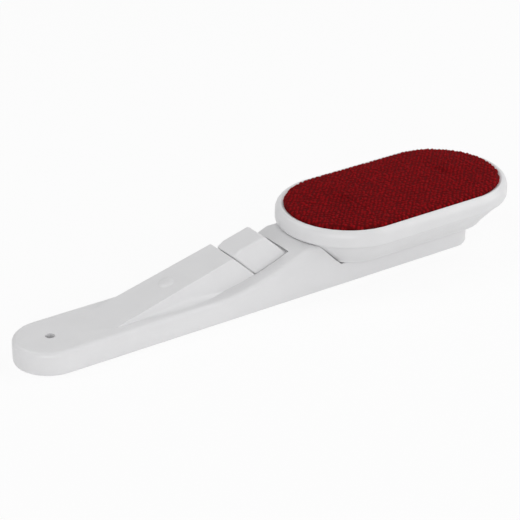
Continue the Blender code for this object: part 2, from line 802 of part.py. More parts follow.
def board_ribs():
    """Two short ribs on each side wall that the switch board lies on."""
    along = board_along() + BOARD_THICK + FIT
    ribs = []
    for side in (-1, 1):
        inner = side * (HALF_WIDTH - WALL - BOARD_RIB)
        outer = side * (HALF_WIDTH - WALL / 2)
        low_y, high_y = sorted((inner, outer))
        half = BOARD_LENGTH / 3
        rib = block((-half, low_y, -BOARD_RIB), (half, high_y, 0.0))
        ribs.append(raked(rib, button_middle(), along))
    return merged(ribs)


def upper_casing():
    """The white moulding that is the handle, hump, neck and deck in one."""
    body = prism(plan_outline(0.0), 0.0, NECK_TOP + OVERRUN, BOTTOM_ROUND)
    part = add_part("upper_casing", body, ((0.86, 0.86, 0.85), 0.35))
    side = side_prism(side_outline(0.0, -OVERRUN), BODY_WIDTH)
    combine_many(part, "INTERSECT", add_tool("casing_side", side))
    soften(part, TOP_ROUND, 3, TOP_EDGE_ANGLE)
    hump = add_tool("hump", hump_solid(0.0, DECK_CEILING))
    soften(hump, HUMP_ROUND, 2)
    combine_many(part, "UNION", hump)
    combine_many(part, "UNION", add_tool("hump_flares", hump_flares()))
    combine_many(part, "DIFFERENCE", casing_cavity())
    space = pedestal_space(PEDESTAL_GAP, HANDLE_HEIGHT, NECK_TOP + OVERRUN)
    combine_many(part, "DIFFERENCE", add_tool("pedestal_space", space))
    combine_many(part, "DIFFERENCE", add_tool("button_pocket", button_pocket()))
    guides = button_guides(-EMBED, GUIDE_HEIGHT, 0.0)
    combine_many(part, "UNION", add_tool("button_guides", guides))
    combine_many(part, "UNION", add_tool("case_posts", case_posts()))
    pilot_top = SCREW_SINK + SCREW_HEAD_THICK + SCREW_LENGTH + FIT
    pilots = screw_cylinders(SCREW_RADIUS + SCREW_FIT, -OVERRUN, pilot_top)
    combine_many(part, "DIFFERENCE", add_tool("case_pilots", pilots))
    boss = rod(HANG_HOLE_RADIUS + HANG_BOSS_WALL, PLATE_THICK + FIT, HANDLE_HEIGHT - WALL / 2)
    combine_many(part, "UNION", add_tool("hang_boss", moved(boss, END_CENTRE_X)))
    bore = rod(HANG_HOLE_RADIUS, -OVERRUN, HANDLE_HEIGHT + OVERRUN)
    combine_many(part, "DIFFERENCE", add_tool("hang_bore", moved(bore, END_CENTRE_X)))
    contact = CONTACT_THICK + 2 * FIT
    negative_x = cell_start() - CONTACT_SPRING_LENGTH - contact
    positive_x = -CELL_END_REACH + contact
    negative = partition(negative_x - PARTITION_THICK, negative_x)
    positive = partition(positive_x, positive_x + PARTITION_THICK)
    combine_many(part, "UNION", add_tool("partitions", merged([negative, positive])))
    combine_many(part, "UNION", add_tool("board_ribs", board_ribs()))
    low = DECK_CEILING - OVERRUN
    high = HANDLE_HEIGHT + OVERRUN
    seat = rod(PIVOT_RADIUS + FIT, low, high)
    holes = rods_at(head_screw_places(), SCREW_RADIUS + SCREW_FIT, low, high)
    combine_many(part, "DIFFERENCE", add_tool("deck_holes", merged([seat, holes])))
    combine_many(part, "UNION", add_tool("ramp_nub", ramp_nub()))


def ramp_nub():
    """A shallow round dome on the ramp, with its foot inside the wall."""
    ball = (NUB_RADIUS**2 + NUB_HEIGHT**2) / (2 * NUB_HEIGHT)
    shape = bmesh.new()
    bmesh.ops.create_uvsphere(shape, u_segments=FINE_STEPS, v_segments=FINE_STEPS, radius=ball)
    lower = [vert for vert in shape.verts if vert.co.z < ball - NUB_FOOT_SHARE * NUB_HEIGHT]
    bmesh.ops.delete(shape, geom=lower, context="VERTS")
    rim = [edge for edge in shape.edges if edge.is_boundary]
    bmesh.ops.edgeloop_fill(shape, edges=rim)
    bmesh.ops.recalc_face_normals(shape, faces=shape.faces)
    mesh = bpy.data.meshes.new("nub")
    shape.to_mesh(mesh)
    shape.free()
    mesh.transform(Matrix.Translation((0.0, 0.0, NUB_HEIGHT - ball)))
    mesh.transform(Matrix.Rotation(-HUMP_SLOPE, 4, "Y"))
    rise = (HUMP_START_REACH - NUB_REACH) * math.tan(HUMP_SLOPE)
    return moved(mesh, -NUB_REACH, 0.0, HANDLE_HEIGHT + rise)


def cell_start():
    """Where the cell's flat end lies."""
    return -CELL_END_REACH - CELL_NUB - CELL_BODY


def cell_height():
    return DOOR_REST + DOOR_THICK + FIT + CELL_RADIUS


def door_span():
    """The ends of the door's opening in the base plate."""
    low = cell_start() - CONTACT_SPRING_LENGTH - DOOR_MARGIN
    return low, -CELL_END_REACH + DOOR_MARGIN


def door_half_width():
    return CELL_RADIUS + DOOR_SIDE_MARGIN


def base_plate():
    """The flat cover that closes the casing from below."""
    plate = prism(plan_outline(WALL + CASE_GAP), 0.0, PLATE_THICK)
    part = add_part("base_plate", plate, ((0.84, 0.84, 0.83), 0.4))
    low, high = door_span()
    half = door_half_width()
    opening = block((low, -half, -OVERRUN), (high, half, PLATE_THICK + OVERRUN))
    combine_many(part, "DIFFERENCE", add_tool("door_opening", opening))
    notch_depth = DOOR_REST + DOOR_THICK + FIT / 2
    notch_low = low - DOOR_TRAVEL - FIT
    notch = block((notch_low, -half, -OVERRUN), (low + EMBED, half, notch_depth))
    combine_many(part, "DIFFERENCE", add_tool("door_notch", notch))
    holes = screw_cylinders(SCREW_RADIUS + SCREW_FIT, -OVERRUN, PLATE_THICK + OVERRUN)
    combine_many(part, "DIFFERENCE", add_tool("plate_holes", holes))
    sink_top = SCREW_SINK + SCREW_HEAD_THICK + SCREW_FIT
    sinks = screw_cylinders(SCREW_HEAD_RADIUS + SCREW_FIT, -OVERRUN, sink_top)
    combine_many(part, "DIFFERENCE", add_tool("plate_sinks", sinks))
    bore = rod(HANG_HOLE_RADIUS, -OVERRUN, PLATE_THICK + OVERRUN)
    combine_many(part, "DIFFERENCE", add_tool("plate_hang_bore", moved(bore, END_CENTRE_X)))
    combine_many(part, "UNION", add_tool("motor_saddles", motor_saddles()))
    groove = rod(MOTOR_RADIUS + FIT, -OVERRUN, MOTOR_LENGTH + OVERRUN)
    groove = laid_along_x(groove, MOTOR_START, 0.0, motor_height())
    combine_many(part, "DIFFERENCE", add_tool("motor_groove", groove))


def motor_height():
    return MOTOR_BOTTOM + MOTOR_RADIUS


def motor_saddles():
    """Two cradles that stand on the base plate and carry the motor."""
    half = MOTOR_RADIUS + SADDLE_WALL
    saddles = []
    for share in SADDLE_SHARES:
        middle = MOTOR_START + share * MOTOR_LENGTH
        low = (middle - SADDLE_THICK / 2, -half, PLATE_THICK - EMBED)
        high = (middle + SADDLE_THICK / 2, half, motor_height())
        saddles.append(block(low, high))
    return merged(saddles)


def battery_door():
    """The sliding lid of the cell's compartment, with two tongues and a row of grip grooves."""
    low, high = door_span()
    half = door_half_width() - FIT
    lid = block((low + FIT, -half, DOOR_REST), (high - FIT, half, DOOR_REST + DOOR_THICK))
    part = add_part("battery_door", lid, ((0.83, 0.83, 0.82), 0.42), (low, 0.0, 0.0))
    tongue_low = DOOR_REST + DOOR_THICK - EMBED / 2
    shelf = PLATE_THICK + FIT
    stem_high = high - FIT
    stem_low = stem_high - TONGUE_WIDTH
    hook_x = high + TONGUE_LENGTH
    hook_z = shelf + TONGUE_THICK
    hook = [(hook_x, shelf), (hook_x, hook_z), (stem_low, hook_z)]
    outline = [(stem_low, tongue_low), (stem_high, tongue_low), (stem_high, shelf)] + hook
    tongues = []
    for side in (-1, 1):
        tongue = side_prism(outline, TONGUE_WIDTH / 2)
        tongues.append(moved(tongue, 0.0, side * (half - TONGUE_WIDTH / 2)))
    combine(part, "UNION", add_tool("door_tongues", merged(tongues)))
    grooves = []
    for index in range(GROOVE_COUNT):
        x = low + GROOVE_PITCH * (index + 1)
        corner = (x, -half + TONGUE_WIDTH, -OVERRUN)
        opposite = (x + GROOVE_WIDTH, half - TONGUE_WIDTH, DOOR_REST + GROOVE_DEPTH)
        grooves.append(block(corner, opposite))
    combine(part, "DIFFERENCE", add_tool("door_grooves", merged(grooves)))


def cross_outline(reach, width):
    """A plus sign, the recess of a screw head."""
    half = width / 2
    arm = [(reach, -half), (reach, half), (half, half)]
    outline = []
    for _ in range(4):
        outline += arm
        arm = [(-y, x) for x, y in arm]
    return outline


def upward_screw(name, x, y, head_bottom, length):
    """A screw driven upwards, with its head below."""
    shoulder = head_bottom + SCREW_HEAD_THICK
    top = shoulder + length
    profile = [
        (0.0, top),
        (SCREW_RADIUS, top),
        (SCREW_RADIUS, shoulder),
        (SCREW_HEAD_RADIUS, shoulder),
        (SCREW_HEAD_RADIUS, head_bottom),
        (0.0, head_bottom),
    ]
    mesh = moved(turned(profile, SMALL_STEPS), x, y)
    part = add_part(name, mesh, ((0.62, 0.63, 0.65), 0.3, 1.0), (x, y, head_bottom))
    cross = cross_outline(SCREW_HEAD_RADIUS - SCREW_CROSS, SCREW_CROSS)
    recess = prism(cross, head_bottom - OVERRUN, head_bottom + SCREW_CROSS_DEPTH)
    combine_many(part, "DIFFERENCE", add_tool(name + "_cross", moved(recess, x, y)))
    return part


def case_screws():
    for index, (x, y) in enumerate(case_screw_places()):
        upward_screw("case_screw_" + str(index + 1), x, y, SCREW_SINK, SCREW_LENGTH)


def battery_cell():
    """One small dry cell with its raised contact towards the head."""
    nub_top = CELL_BODY + CELL_NUB
    edge = CELL_RADIUS - CELL_ROUND
    profile = [
        (0.0, nub_top),
        (CELL_NUB_RADIUS, nub_top),
        (CELL_NUB_RADIUS, CELL_BODY),
        (edge, CELL_BODY),
        (CELL_RADIUS, CELL_BODY - CELL_ROUND),
        (CELL_RADIUS, CELL_ROUND),
        (edge, 0.0),
        (0.0, 0.0),
    ]
    place = (cell_start(), 0.0, cell_height())
    mesh = laid_along_x(turned(profile), *place)
    add_part("battery_cell", mesh, ((0.12, 0.14, 0.18), 0.35, 0.4), place)


def cell_contacts():
    """The flat plate at the raised end and the sprung plate at the flat end."""
    half = CONTACT_SIDE / 2
    z = cell_height()
    steel = ((0.7, 0.7, 0.68), 0.28, 1.0)
    x = -CELL_END_REACH + FIT
    plate = block((x, -half, z - half), (x + CONTACT_THICK, half, z + half))
    add_part("positive_contact", plate, steel, (x, 0.0, z))
    x = cell_start() - CONTACT_SPRING_LENGTH - FIT - CONTACT_THICK
    top = hump_ceiling(x) - CONTACT_ROOM
    plate = block((x, -half, z - half), (x + CONTACT_THICK, half, top))
    add_part("negative_contact", plate, steel, (x, 0.0, z))
    length = CONTACT_SPRING_LENGTH - FIT
    foot = cell_start() - CONTACT_SPRING_LENGTH
    tip = CONTACT_SPRING_TIP
    spring = coil(CONTACT_SPRING_RADIUS, tip, length, CONTACT_SPRING_TURNS, CONTACT_SPRING_WIRE)
    add_part("contact_spring", laid_along_x(spring, foot, 0.0, z), steel, (foot, 0.0, z))


def motor():
    """A pencil motor: steel can, end cap, and the shaft with its half round weight."""
    z = motor_height()
    start = MOTOR_START
    front = start + MOTOR_LENGTH
    steel = ((0.66, 0.67, 0.69), 0.25, 1.0)
    bush = MOTOR_SHAFT_RADIUS + FIT
    can = turned(
        [
            (0.0, MOTOR_LENGTH - MOTOR_BUSH_DEPTH),
            (bush, MOTOR_LENGTH - MOTOR_BUSH_DEPTH),
            (bush, MOTOR_LENGTH),
            (MOTOR_RADIUS, MOTOR_LENGTH),
            (MOTOR_RADIUS, 0.0),
            (0.0, 0.0),
        ]
    )
    add_part("motor_can", laid_along_x(can, start, 0.0, z), steel, (start, 0.0, z))
    cap = rod(MOTOR_RADIUS, -MOTOR_CAP_LENGTH - FIT, -FIT)
    black = ((0.03, 0.03, 0.03), 0.5)
    add_part("motor_end_cap", laid_along_x(cap, start, 0.0, z), black, (start, 0.0, z))
    axis = add_axis("motor_axis", (front, 0.0, z))
    shaft = rod(MOTOR_SHAFT_RADIUS, FIT - MOTOR_BUSH_DEPTH, MOTOR_SHAFT_LENGTH, SMALL_STEPS)
    add_part("motor_shaft", laid_along_x(shaft, front, 0.0, z), steel, (front, 0.0, z), axis)
    bore = MOTOR_SHAFT_RADIUS + FIT
    quarter = math.pi / 2
    outline = arc(0.0, 0.0, WEIGHT_RADIUS, -quarter, quarter, ARC_STEPS)
    outline += arc(0.0, 0.0, WEIGHT_HUB, quarter, 3 * quarter, ARC_STEPS)
    low = MOTOR_SHAFT_LENGTH - WEIGHT_LENGTH - FIT
    weight = laid_along_x(prism(outline, low, low + WEIGHT_LENGTH), front, 0.0, z)
    tungsten = ((0.5, 0.49, 0.46), 0.35, 1.0)
    part = add_part("eccentric_weight", weight, tungsten, (front, 0.0, z), axis)
    hole = laid_along_x(rod(bore, low - OVERRUN, low + WEIGHT_LENGTH + OVERRUN), front, 0.0, z)
    combine(part, "DIFFERENCE", add_tool("weight_bore", hole))


def button_middle():
    """How far across the rake the button's own axis lies."""
    return BUTTON_GAP + BUTTON_LENGTH / 2


def collar_along():
    return neck_along(button_middle(), WALL + FIT + FLANGE_THICK)


def plunger_along():
    """Where the plunger's top meets the tip of the button's post."""
    return collar_along() + COLLAR_THICK + TIP_LENGTH + FIT


def switch_along():
    return plunger_along() + PLUNGER_LENGTH


def board_along():
    return switch_along() + SWITCH_HEIGHT + FIT


def flange_depth():
    """How deep under the neck's surface the middle of the button's flange lies."""
    return WALL + FIT + FLANGE_THICK / 2


def drafted(mesh, depth):
    """Leans the sides of a raked shape inwards above the flange line."""
    lean = math.tan(BUTTON_DRAFT)
    sine = math.sin(NECK_SLOPE)
    cosine = math.cos(NECK_SLOPE)
    for vert in mesh.vertices:
        rise_x = (vert.co.x + NECK_FOOT_REACH) * -sine
        rise_z = (vert.co.z - HANDLE_HEIGHT) * cosine
        inward = lean * (rise_x + rise_z + depth)
        vert.co.y -= math.copysign(inward, vert.co.y)
    return mesh


def button_outline(wall, depth):
    """The button from the side, drawn in by a wall, down to a depth under the neck."""
    front = BUTTON_GAP + wall
    back = BUTTON_GAP + BUTTON_LENGTH - wall
    nose = BUTTON_GAP + BUTTON_NOSE_LENGTH
    corners = [
        (front, neck_along(front, depth)),
        (back, neck_along(back, depth)),
        (back, ramp_along(back, wall)),
        (nose, ramp_along(nose, wall)),
        (front, ramp_along(front, wall) + BUTTON_NOSE_DROP),
    ]
    return [rake_point(across, along) for across, along in corners]


def button_guides(front, back, clearance):
    """Two guide ribs on the hump's end face, or the grooves for them in the button."""
    top = ramp_along(0.0) + BUTTON_NOSE_DROP + GUIDE_CAP
    if clearance == 0.0:
        top += BUTTON_TRAVEL + FIT
    bottom = neck_along(0.0, WALL / 2) + clearance
    corners = [(front, bottom), (back, bottom), (back, top), (front, top)]
    outline = [rake_point(across, along) for across, along in corners]
    middle = BUTTON_WIDTH / 2 - GUIDE_INSET - GUIDE_WIDTH / 2
    ribs = []
    for side in (-1, 1):
        rib = moved(side_prism(outline, GUIDE_WIDTH / 2 + clearance), 0.0, side * middle)
        ribs.append(drafted(rib, flange_depth()))
    return merged(ribs)


def thumb_button():
    """The hollow push button with its retaining flange and the post that works the switch."""
    depth = flange_depth()
    axis = add_axis("button_axis", button_origin())
    shell = drafted(side_prism(button_outline(0.0, depth), BUTTON_WIDTH / 2), depth)
    part = add_part("thumb_button", shell, ((0.86, 0.86, 0.85), 0.33), button_origin(), axis)
    soften(part, BUTTON_ROUND, 3)
    reach = FLANGE_LIP + BUTTON_GAP
    front = BUTTON_GAP - reach
    back = BUTTON_GAP + BUTTON_LENGTH + SLOT_GAP + FLANGE_LIP
    top = WALL + FIT
    bottom = top + FLANGE_THICK
    corners = [(front, bottom), (back, bottom), (back, top), (front, top)]
    flange = [rake_point(across, neck_along(across, down)) for across, down in corners]
    half = BUTTON_WIDTH / 2 + reach
    combine(part, "UNION", add_tool("button_flange", side_prism(flange, half)))
    hollow = button_outline(BUTTON_WALL, depth + OVERRUN)
    inside = drafted(side_prism(hollow, BUTTON_WIDTH / 2 - BUTTON_WALL), depth)
    combine(part, "DIFFERENCE", add_tool("button_hollow", inside))
    grooves = button_guides(-OVERRUN, GUIDE_HEIGHT + FIT, GUIDE_SIDE_GAP)
    combine(part, "DIFFERENCE", add_tool("guide_grooves", grooves))
    middle = button_middle()
    top = ramp_along(middle - POST_RADIUS, BUTTON_WALL / 2)
    collar = collar_along()
    tip = collar + COLLAR_THICK + TIP_LENGTH
    profile = [
        (0.0, tip - top),
        (POST_RADIUS, tip - top),
        (POST_RADIUS, tip - collar),
        (COLLAR_RADIUS, tip - collar),
        (COLLAR_RADIUS, TIP_LENGTH),
        (TIP_RADIUS, TIP_LENGTH),
        (TIP_RADIUS, 0.0),
        (0.0, 0.0),
    ]
    post = add_tool("button_post", raked(turned(profile), middle, tip))
    room = side_prism(button_outline(BUTTON_WALL / 2, tip), BUTTON_WIDTH / 2)
    combine(post, "INTERSECT", add_tool("post_room", room))
    combine(part, "UNION", post)


def button_origin():
    x, z = rake_point(button_middle(), plunger_along())
    return x, 0.0, z


def switch():
    """The switch with its plunger on a board across the neck, and the button's return spring."""
    middle = button_middle()
    side = SWITCH_SIDE / 2
    body = block((-side, -side, 0.0), (side, side, SWITCH_HEIGHT))
    base = switch_along() + SWITCH_HEIGHT
    x, z = rake_point(middle, base)
    black = ((0.04, 0.04, 0.045), 0.45)
    part = add_part("switch_body", raked(body, middle, base), black, (x, 0.0, z))
    soften(part, SWITCH_ROUND, 1)
    well_bottom = SWITCH_HEIGHT - PLUNGER_DEPTH - BUTTON_TRAVEL - FIT
    well = rod(PLUNGER_RADIUS + FIT, well_bottom, SWITCH_HEIGHT + OVERRUN)
    combine(part, "DIFFERENCE", add_tool("plunger_well", raked(well, middle, base)))
    axis = add_axis("plunger_axis", button_origin())
    plunger = rod(PLUNGER_RADIUS, -PLUNGER_LENGTH - PLUNGER_DEPTH, 0.0)
    plunger = raked(plunger, middle, plunger_along())
    add_part("switch_plunger", plunger, ((0.75, 0.08, 0.06), 0.4), button_origin(), axis)
    half = HALF_WIDTH - WALL - FIT
    slab = block((-BOARD_LENGTH / 2, -half, -BOARD_THICK), (BOARD_LENGTH / 2, half, 0.0))
    x, z = rake_point(middle, board_along())
    green = ((0.05, 0.22, 0.1), 0.45)
    add_part("switch_board", raked(slab, middle, board_along()), green, (x, 0.0, z))
    gap = board_along() - collar_along() - COLLAR_THICK
    radius = BUTTON_SPRING_RADIUS
    spring = coil(radius, radius, gap - 2 * FIT, BUTTON_SPRING_TURNS, BUTTON_SPRING_WIRE)
    spring = raked(spring, middle, board_along() - FIT)
    add_part("button_spring", spring, ((0.7, 0.71, 0.73), 0.25, 1.0), (x, 0.0, z), axis)


def leads():
    """The three insulated wires between the cell's contacts, the switch and the motor."""
    routes = (
        ("negative_lead", NEGATIVE_LEAD, NEGATIVE_LEAD_END, (0.02, 0.02, 0.02)),
        ("positive_lead", POSITIVE_LEAD, (), (0.6, 0.02, 0.02)),
        ("motor_lead", MOTOR_LEAD, MOTOR_LEAD_END, (0.6, 0.02, 0.02)),
    )
    for name, first, last, colour in routes:
        route = [(x - HUMP_END_REACH, y, z) for x, y, z in first]
        route += [(x + MOTOR_START, y, z) for x, y, z in last]
        mesh = wire(smooth_route(route, LEAD_STEPS), LEAD_RADIUS, 1)
        add_part(name, mesh, (colour, 0.5), route[0])


def head_base():
    """The deep bowl under the rim, which stands on the deck with its bosses and screws."""
    low = PEDESTAL_BOTTOM
    top = PEDESTAL_TOP
    corner_r = PEDESTAL_LOW_RADIUS - PEDESTAL_ROUND
    edge = arc(corner_r, low + PEDESTAL_ROUND, PEDESTAL_ROUND, 0.0, -math.pi / 2, PROFILE_STEPS)
    outer = pulled_ring([(pedestal_radius(top), top)] + edge, False)
    part = add_part("head_base", outer, ((0.85, 0.85, 0.84), 0.36))
    inner_low = pedestal_radius(FLOOR_TOP) - PEDESTAL_WALL
    inner_high = pedestal_radius(top + OVERRUN) - PEDESTAL_WALL
    inner = pulled_ring([(inner_high, top + OVERRUN), (inner_low, FLOOR_TOP)], False)
    combine(part, "DIFFERENCE", add_tool("head_hollow", inner))
    places = head_screw_places()
    pilot_top = HEAD_SCREW_TOP + FIT
    boss = SCREW_RADIUS + HEAD_BOSS_WALL
    bosses = rods_at(places, boss, FLOOR_TOP - EMBED, pilot_top + HEAD_BOSS_WALL)
    combine(part, "UNION", add_tool("head_bosses", bosses))
    bore = rod(PIVOT_RADIUS + FIT, low - OVERRUN, FLOOR_TOP + OVERRUN)
    pilots = rods_at(places, SCREW_RADIUS + SCREW_FIT, low - OVERRUN, pilot_top)
    combine(part, "DIFFERENCE", add_tool("head_bores", merged([bore, pilots])))


def head_rim(axis):
    """The rounded white frame round the pad, which turns just above the bowl and the neck."""
    skirt = PEDESTAL_HIGH_RADIUS - PEDESTAL_WALL
    flange = RIM_MOUTH_RADIUS - RIM_FLANGE_REACH
    shoulder = RIM_TOP - RIM_CROWN_HEIGHT
    profile = []
    for step in range(PROFILE_STEPS + 1):
        turn = math.pi / 2 * step / PROFILE_STEPS
        radius = RIM_LIP_RADIUS + (RIM_RADIUS - RIM_LIP_RADIUS) * math.sin(turn)
        profile.append((radius, shoulder + RIM_CROWN_HEIGHT * math.cos(turn)))
    corner_r = RIM_RADIUS - RIM_FOOT_ROUND
    corner_z = RIM_UNDERSIDE + RIM_FOOT_ROUND
    profile += arc(corner_r, corner_z, RIM_FOOT_ROUND, 0.0, -math.pi / 2, 3)
    profile += [(skirt, RIM_UNDERSIDE), (skirt, FLANGE_BOTTOM), (flange, FLANGE_BOTTOM)]
    profile += [(flange, FLANGE_TOP), (RIM_MOUTH_RADIUS, FLANGE_TOP)]
    profile += [(RIM_MOUTH_RADIUS, RIM_TOP - RIM_LIP / 2)]
    ring_mesh = pulled_ring(profile, True)
    part = add_part("head_rim", ring_mesh, ((0.87, 0.87, 0.86), 0.32), parent=axis)
    radius = SCREW_RADIUS + SCREW_FIT
    holes = rods_at(rim_screw_places(), radius, RIM_SCREW_BOTTOM, FLANGE_TOP + FIT)
    combine(part, "DIFFERENCE", add_tool("rim_holes", holes))


def pad_plate(axis):
    """The plate under the pad, with the long hub that turns on the pivot stud."""
    profile = [(PAD_PLATE_RADIUS, PAD_PLATE_TOP), (PAD_PLATE_RADIUS, PAD_PLATE_BOTTOM)]
    plate = pulled_ring(profile, False)
    part = add_part("pad_plate", plate, ((0.8, 0.8, 0.79), 0.45), parent=axis)
    hub_low = FLOOR_TOP + FIT
    hub = rod(WASHER_RADIUS + FIT + HUB_WALL, hub_low, PAD_PLATE_BOTTOM + EMBED)
    combine(part, "UNION", add_tool("plate_hub", hub))
    bore = rod(PIVOT_RADIUS + FIT, hub_low - OVERRUN, PAD_PLATE_TOP + OVERRUN)
    combine(part, "DIFFERENCE", add_tool("hub_bore", bore))
    well = rod(WASHER_RADIUS + FIT, PIVOT_SEAT, PAD_PLATE_TOP + OVERRUN)
    combine(part, "DIFFERENCE", add_tool("hub_well", well))
    radius = SCREW_RADIUS + SCREW_FIT
    holes = rods_at(rim_screw_places(), radius, FLANGE_TOP, PAD_PLATE_TOP + OVERRUN)
    combine(part, "DIFFERENCE", add_tool("plate_pilots", holes))


def crown(radius, low, edge_z, middle_z, rounding):
    """A pad profile from its crowned middle down its rounded edge to its foot."""
    flat = radius - rounding
    top = [(flat * s, middle_z + (edge_z - middle_z) * s**2) for s in CROWN_SHARES]
    edge = arc(flat, edge_z - rounding, rounding, math.pi / 2, 0.0, 3)
    return top + edge[1:] + [(radius, low)]


def foam_pad(axis):
    """The springy foam between the plate and the velour."""
    radius = PAD_PLATE_RADIUS - FOAM_INSET
    low = PAD_PLATE_TOP + FIT
    edge = low + FOAM_EDGE
    profile = crown(radius, low, edge, edge + FOAM_CROWN, VELOUR_ROUND - VELOUR_THICK)
    add_part("foam_pad", pulled_ring(profile, False), ((0.85, 0.8, 0.6), 0.9), parent=axis)


def velour_pad(axis):
    """The crowned velour cover, drawn in at its sides, with the foam inside it."""
    radius = PAD_PLATE_RADIUS
    low = PAD_PLATE_TOP + FIT
    edge = low + FOAM_EDGE + FIT + VELOUR_THICK + VELOUR_RISE
    profile = crown(radius, low, edge, edge + VELOUR_CROWN, VELOUR_ROUND)
    red = ((0.42, 0.01, 0.02), 0.95)
    part = add_part("velour_pad", pulled_ring(profile, False), red, parent=axis)
    reach = radius - FOAM_INSET + FIT
    edge = low + FOAM_EDGE + FIT
    inner = crown(reach, low - OVERRUN, edge, edge + FOAM_CROWN, VELOUR_ROUND - VELOUR_THICK)
    combine(part, "DIFFERENCE", add_tool("velour_hollow", pulled_ring(inner, False)))


def head_screws():
    for index, (x, y) in enumerate(head_screw_places()):
        name = "head_screw_" + str(index + 1)
        upward_screw(name, x, y, HEAD_SCREW_BOTTOM, HEAD_SCREW_LENGTH)


def rim_screws(axis):
    for index, (x, y) in enumerate(rim_screw_places()):
        name = "rim_screw_" + str(index + 1)
        screw = upward_screw(name, x, y, RIM_SCREW_BOTTOM, RIM_SCREW_LENGTH)
        screw.parent = axis
        screw.matrix_parent_inverse = Matrix.Translation(-axis.location)


def pivot():
    """The flanged stud through the deck, and the washer and screw that keep the hub on it."""
    nylon = ((0.82, 0.8, 0.74), 0.5)
    top = PIVOT_SEAT + FIT / 2
    flange_top = DECK_CEILING - FIT
    bore = PIVOT_SCREW_RADIUS + SCREW_FIT
    bore_bottom = top - PIVOT_BORE_DEPTH
    stud = turned(
        [
            (0.0, bore_bottom),
            (bore, bore_bottom),
            (bore, top),
            (PIVOT_RADIUS, top),
            (PIVOT_RADIUS, flange_top),
            (PIVOT_FLANGE_RADIUS, flange_top),
            (PIVOT_FLANGE_RADIUS, flange_top - PIVOT_FLANGE_THICK),
            (0.0, flange_top - PIVOT_FLANGE_THICK),
        ]
    )
    add_part("pivot_stud", stud, nylon)
    washer_low = top + FIT
    washer_top = washer_low + WASHER_THICK
    steel = ((0.64, 0.65, 0.67), 0.28, 1.0)
    add_part("pivot_washer", ring(bore, WASHER_RADIUS, washer_low, washer_top), steel)
    head_low = washer_top + FIT
    head_top = head_low + PIVOT_SCREW_HEAD_THICK
    profile = [
        (0.0, head_top),
        (PIVOT_SCREW_HEAD_RADIUS, head_top),
        (PIVOT_SCREW_HEAD_RADIUS, head_low),
        (PIVOT_SCREW_RADIUS, head_low),
        (PIVOT_SCREW_RADIUS, head_low - PIVOT_SCREW_LENGTH),
        (0.0, head_low - PIVOT_SCREW_LENGTH),
    ]
    part = add_part("pivot_screw", turned(profile), steel)
    cross = cross_outline(PIVOT_SCREW_HEAD_RADIUS - SCREW_CROSS, SCREW_CROSS)
    recess = prism(cross, head_top - SCREW_CROSS_DEPTH, head_top + OVERRUN)
    combine_many(part, "DIFFERENCE", add_tool("pivot_cross", recess))


def main():
    clear_scene()
    make_collection(PARTS)
    make_collection(TOOLS)
    upper_casing()
    base_plate()
    battery_door()
    case_screws()
    battery_cell()
    cell_contacts()
    motor()
    thumb_button()
    switch()
    leads()
    pivot()
    head_base()
    head_screws()
    axis = add_axis("head_axis", (0.0, 0.0, RIM_UNDERSIDE))
    head_rim(axis)
    pad_plate(axis)
    foam_pad(axis)
    velour_pad(axis)
    rim_screws(axis)


main()
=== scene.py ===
import math

import bpy
import numpy as np
from mathutils import Matrix, Vector


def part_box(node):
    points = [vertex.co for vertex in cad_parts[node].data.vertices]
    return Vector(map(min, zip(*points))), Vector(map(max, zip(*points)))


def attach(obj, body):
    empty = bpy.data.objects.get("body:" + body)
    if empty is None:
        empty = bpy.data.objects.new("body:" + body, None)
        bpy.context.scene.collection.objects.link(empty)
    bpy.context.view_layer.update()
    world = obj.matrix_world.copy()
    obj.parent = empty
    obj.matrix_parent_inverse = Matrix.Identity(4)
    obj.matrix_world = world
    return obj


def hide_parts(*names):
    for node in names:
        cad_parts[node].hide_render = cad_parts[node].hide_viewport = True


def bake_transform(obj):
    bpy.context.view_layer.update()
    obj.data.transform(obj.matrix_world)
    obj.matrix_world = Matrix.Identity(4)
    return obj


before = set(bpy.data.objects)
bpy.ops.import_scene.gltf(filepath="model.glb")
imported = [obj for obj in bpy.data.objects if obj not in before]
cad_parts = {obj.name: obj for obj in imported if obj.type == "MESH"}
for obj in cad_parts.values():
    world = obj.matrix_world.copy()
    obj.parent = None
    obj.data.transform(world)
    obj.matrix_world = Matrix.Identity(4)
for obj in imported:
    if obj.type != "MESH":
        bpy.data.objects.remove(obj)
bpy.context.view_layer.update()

MM = 0.001

# Camera
CAMERA_TURN = math.radians(34.859)
CAMERA_LIFT = math.radians(26.461)
FRAME_PIXELS = 520.0
FOCAL_PIXELS = 1929.495
CAMERA_DISTANCE = 964.75 * MM
AIM = Vector((0.6 * MM, 0.0, 34.074 * MM))
AIM_PIXEL = (393.735, 187.52)
SENSOR_WIDTH = 36.0

# Stage: places and sizes in metres, levels as shares of full white
FLOOR_REACH = 3.0
FLOOR_DROP = 0.05 * MM
FLOOR_GREY = 0.9
FLOOR_ROUGHNESS = 0.9
FLOOR_SHINE = 0.1
FLOOR_WHITE_SHARE = 0.9
SURROUNDINGS_LEVEL = 0.3
LAMP_AIM = Vector((-60.0 * MM, 0.0, 15.0 * MM))
# Each lamp's name, place, size and level
LAMPS = (
    ("front_left", (-0.85, -0.9, 0.4), 0.9, 0.46),
    ("front_right", (0.95, -0.8, 0.4), 0.9, 0.31),
    ("back_left", (-0.65, 0.6, 1.0), 0.8, 0.25),
    ("right", (0.85, 0.0, 1.0), 0.8, 0.25),
)

# Smoothing of the CAD nodes
SHARP_ANGLE = math.radians(32.0)
WELD_DISTANCE = 0.002 * MM
FACE_WEIGHT = 80

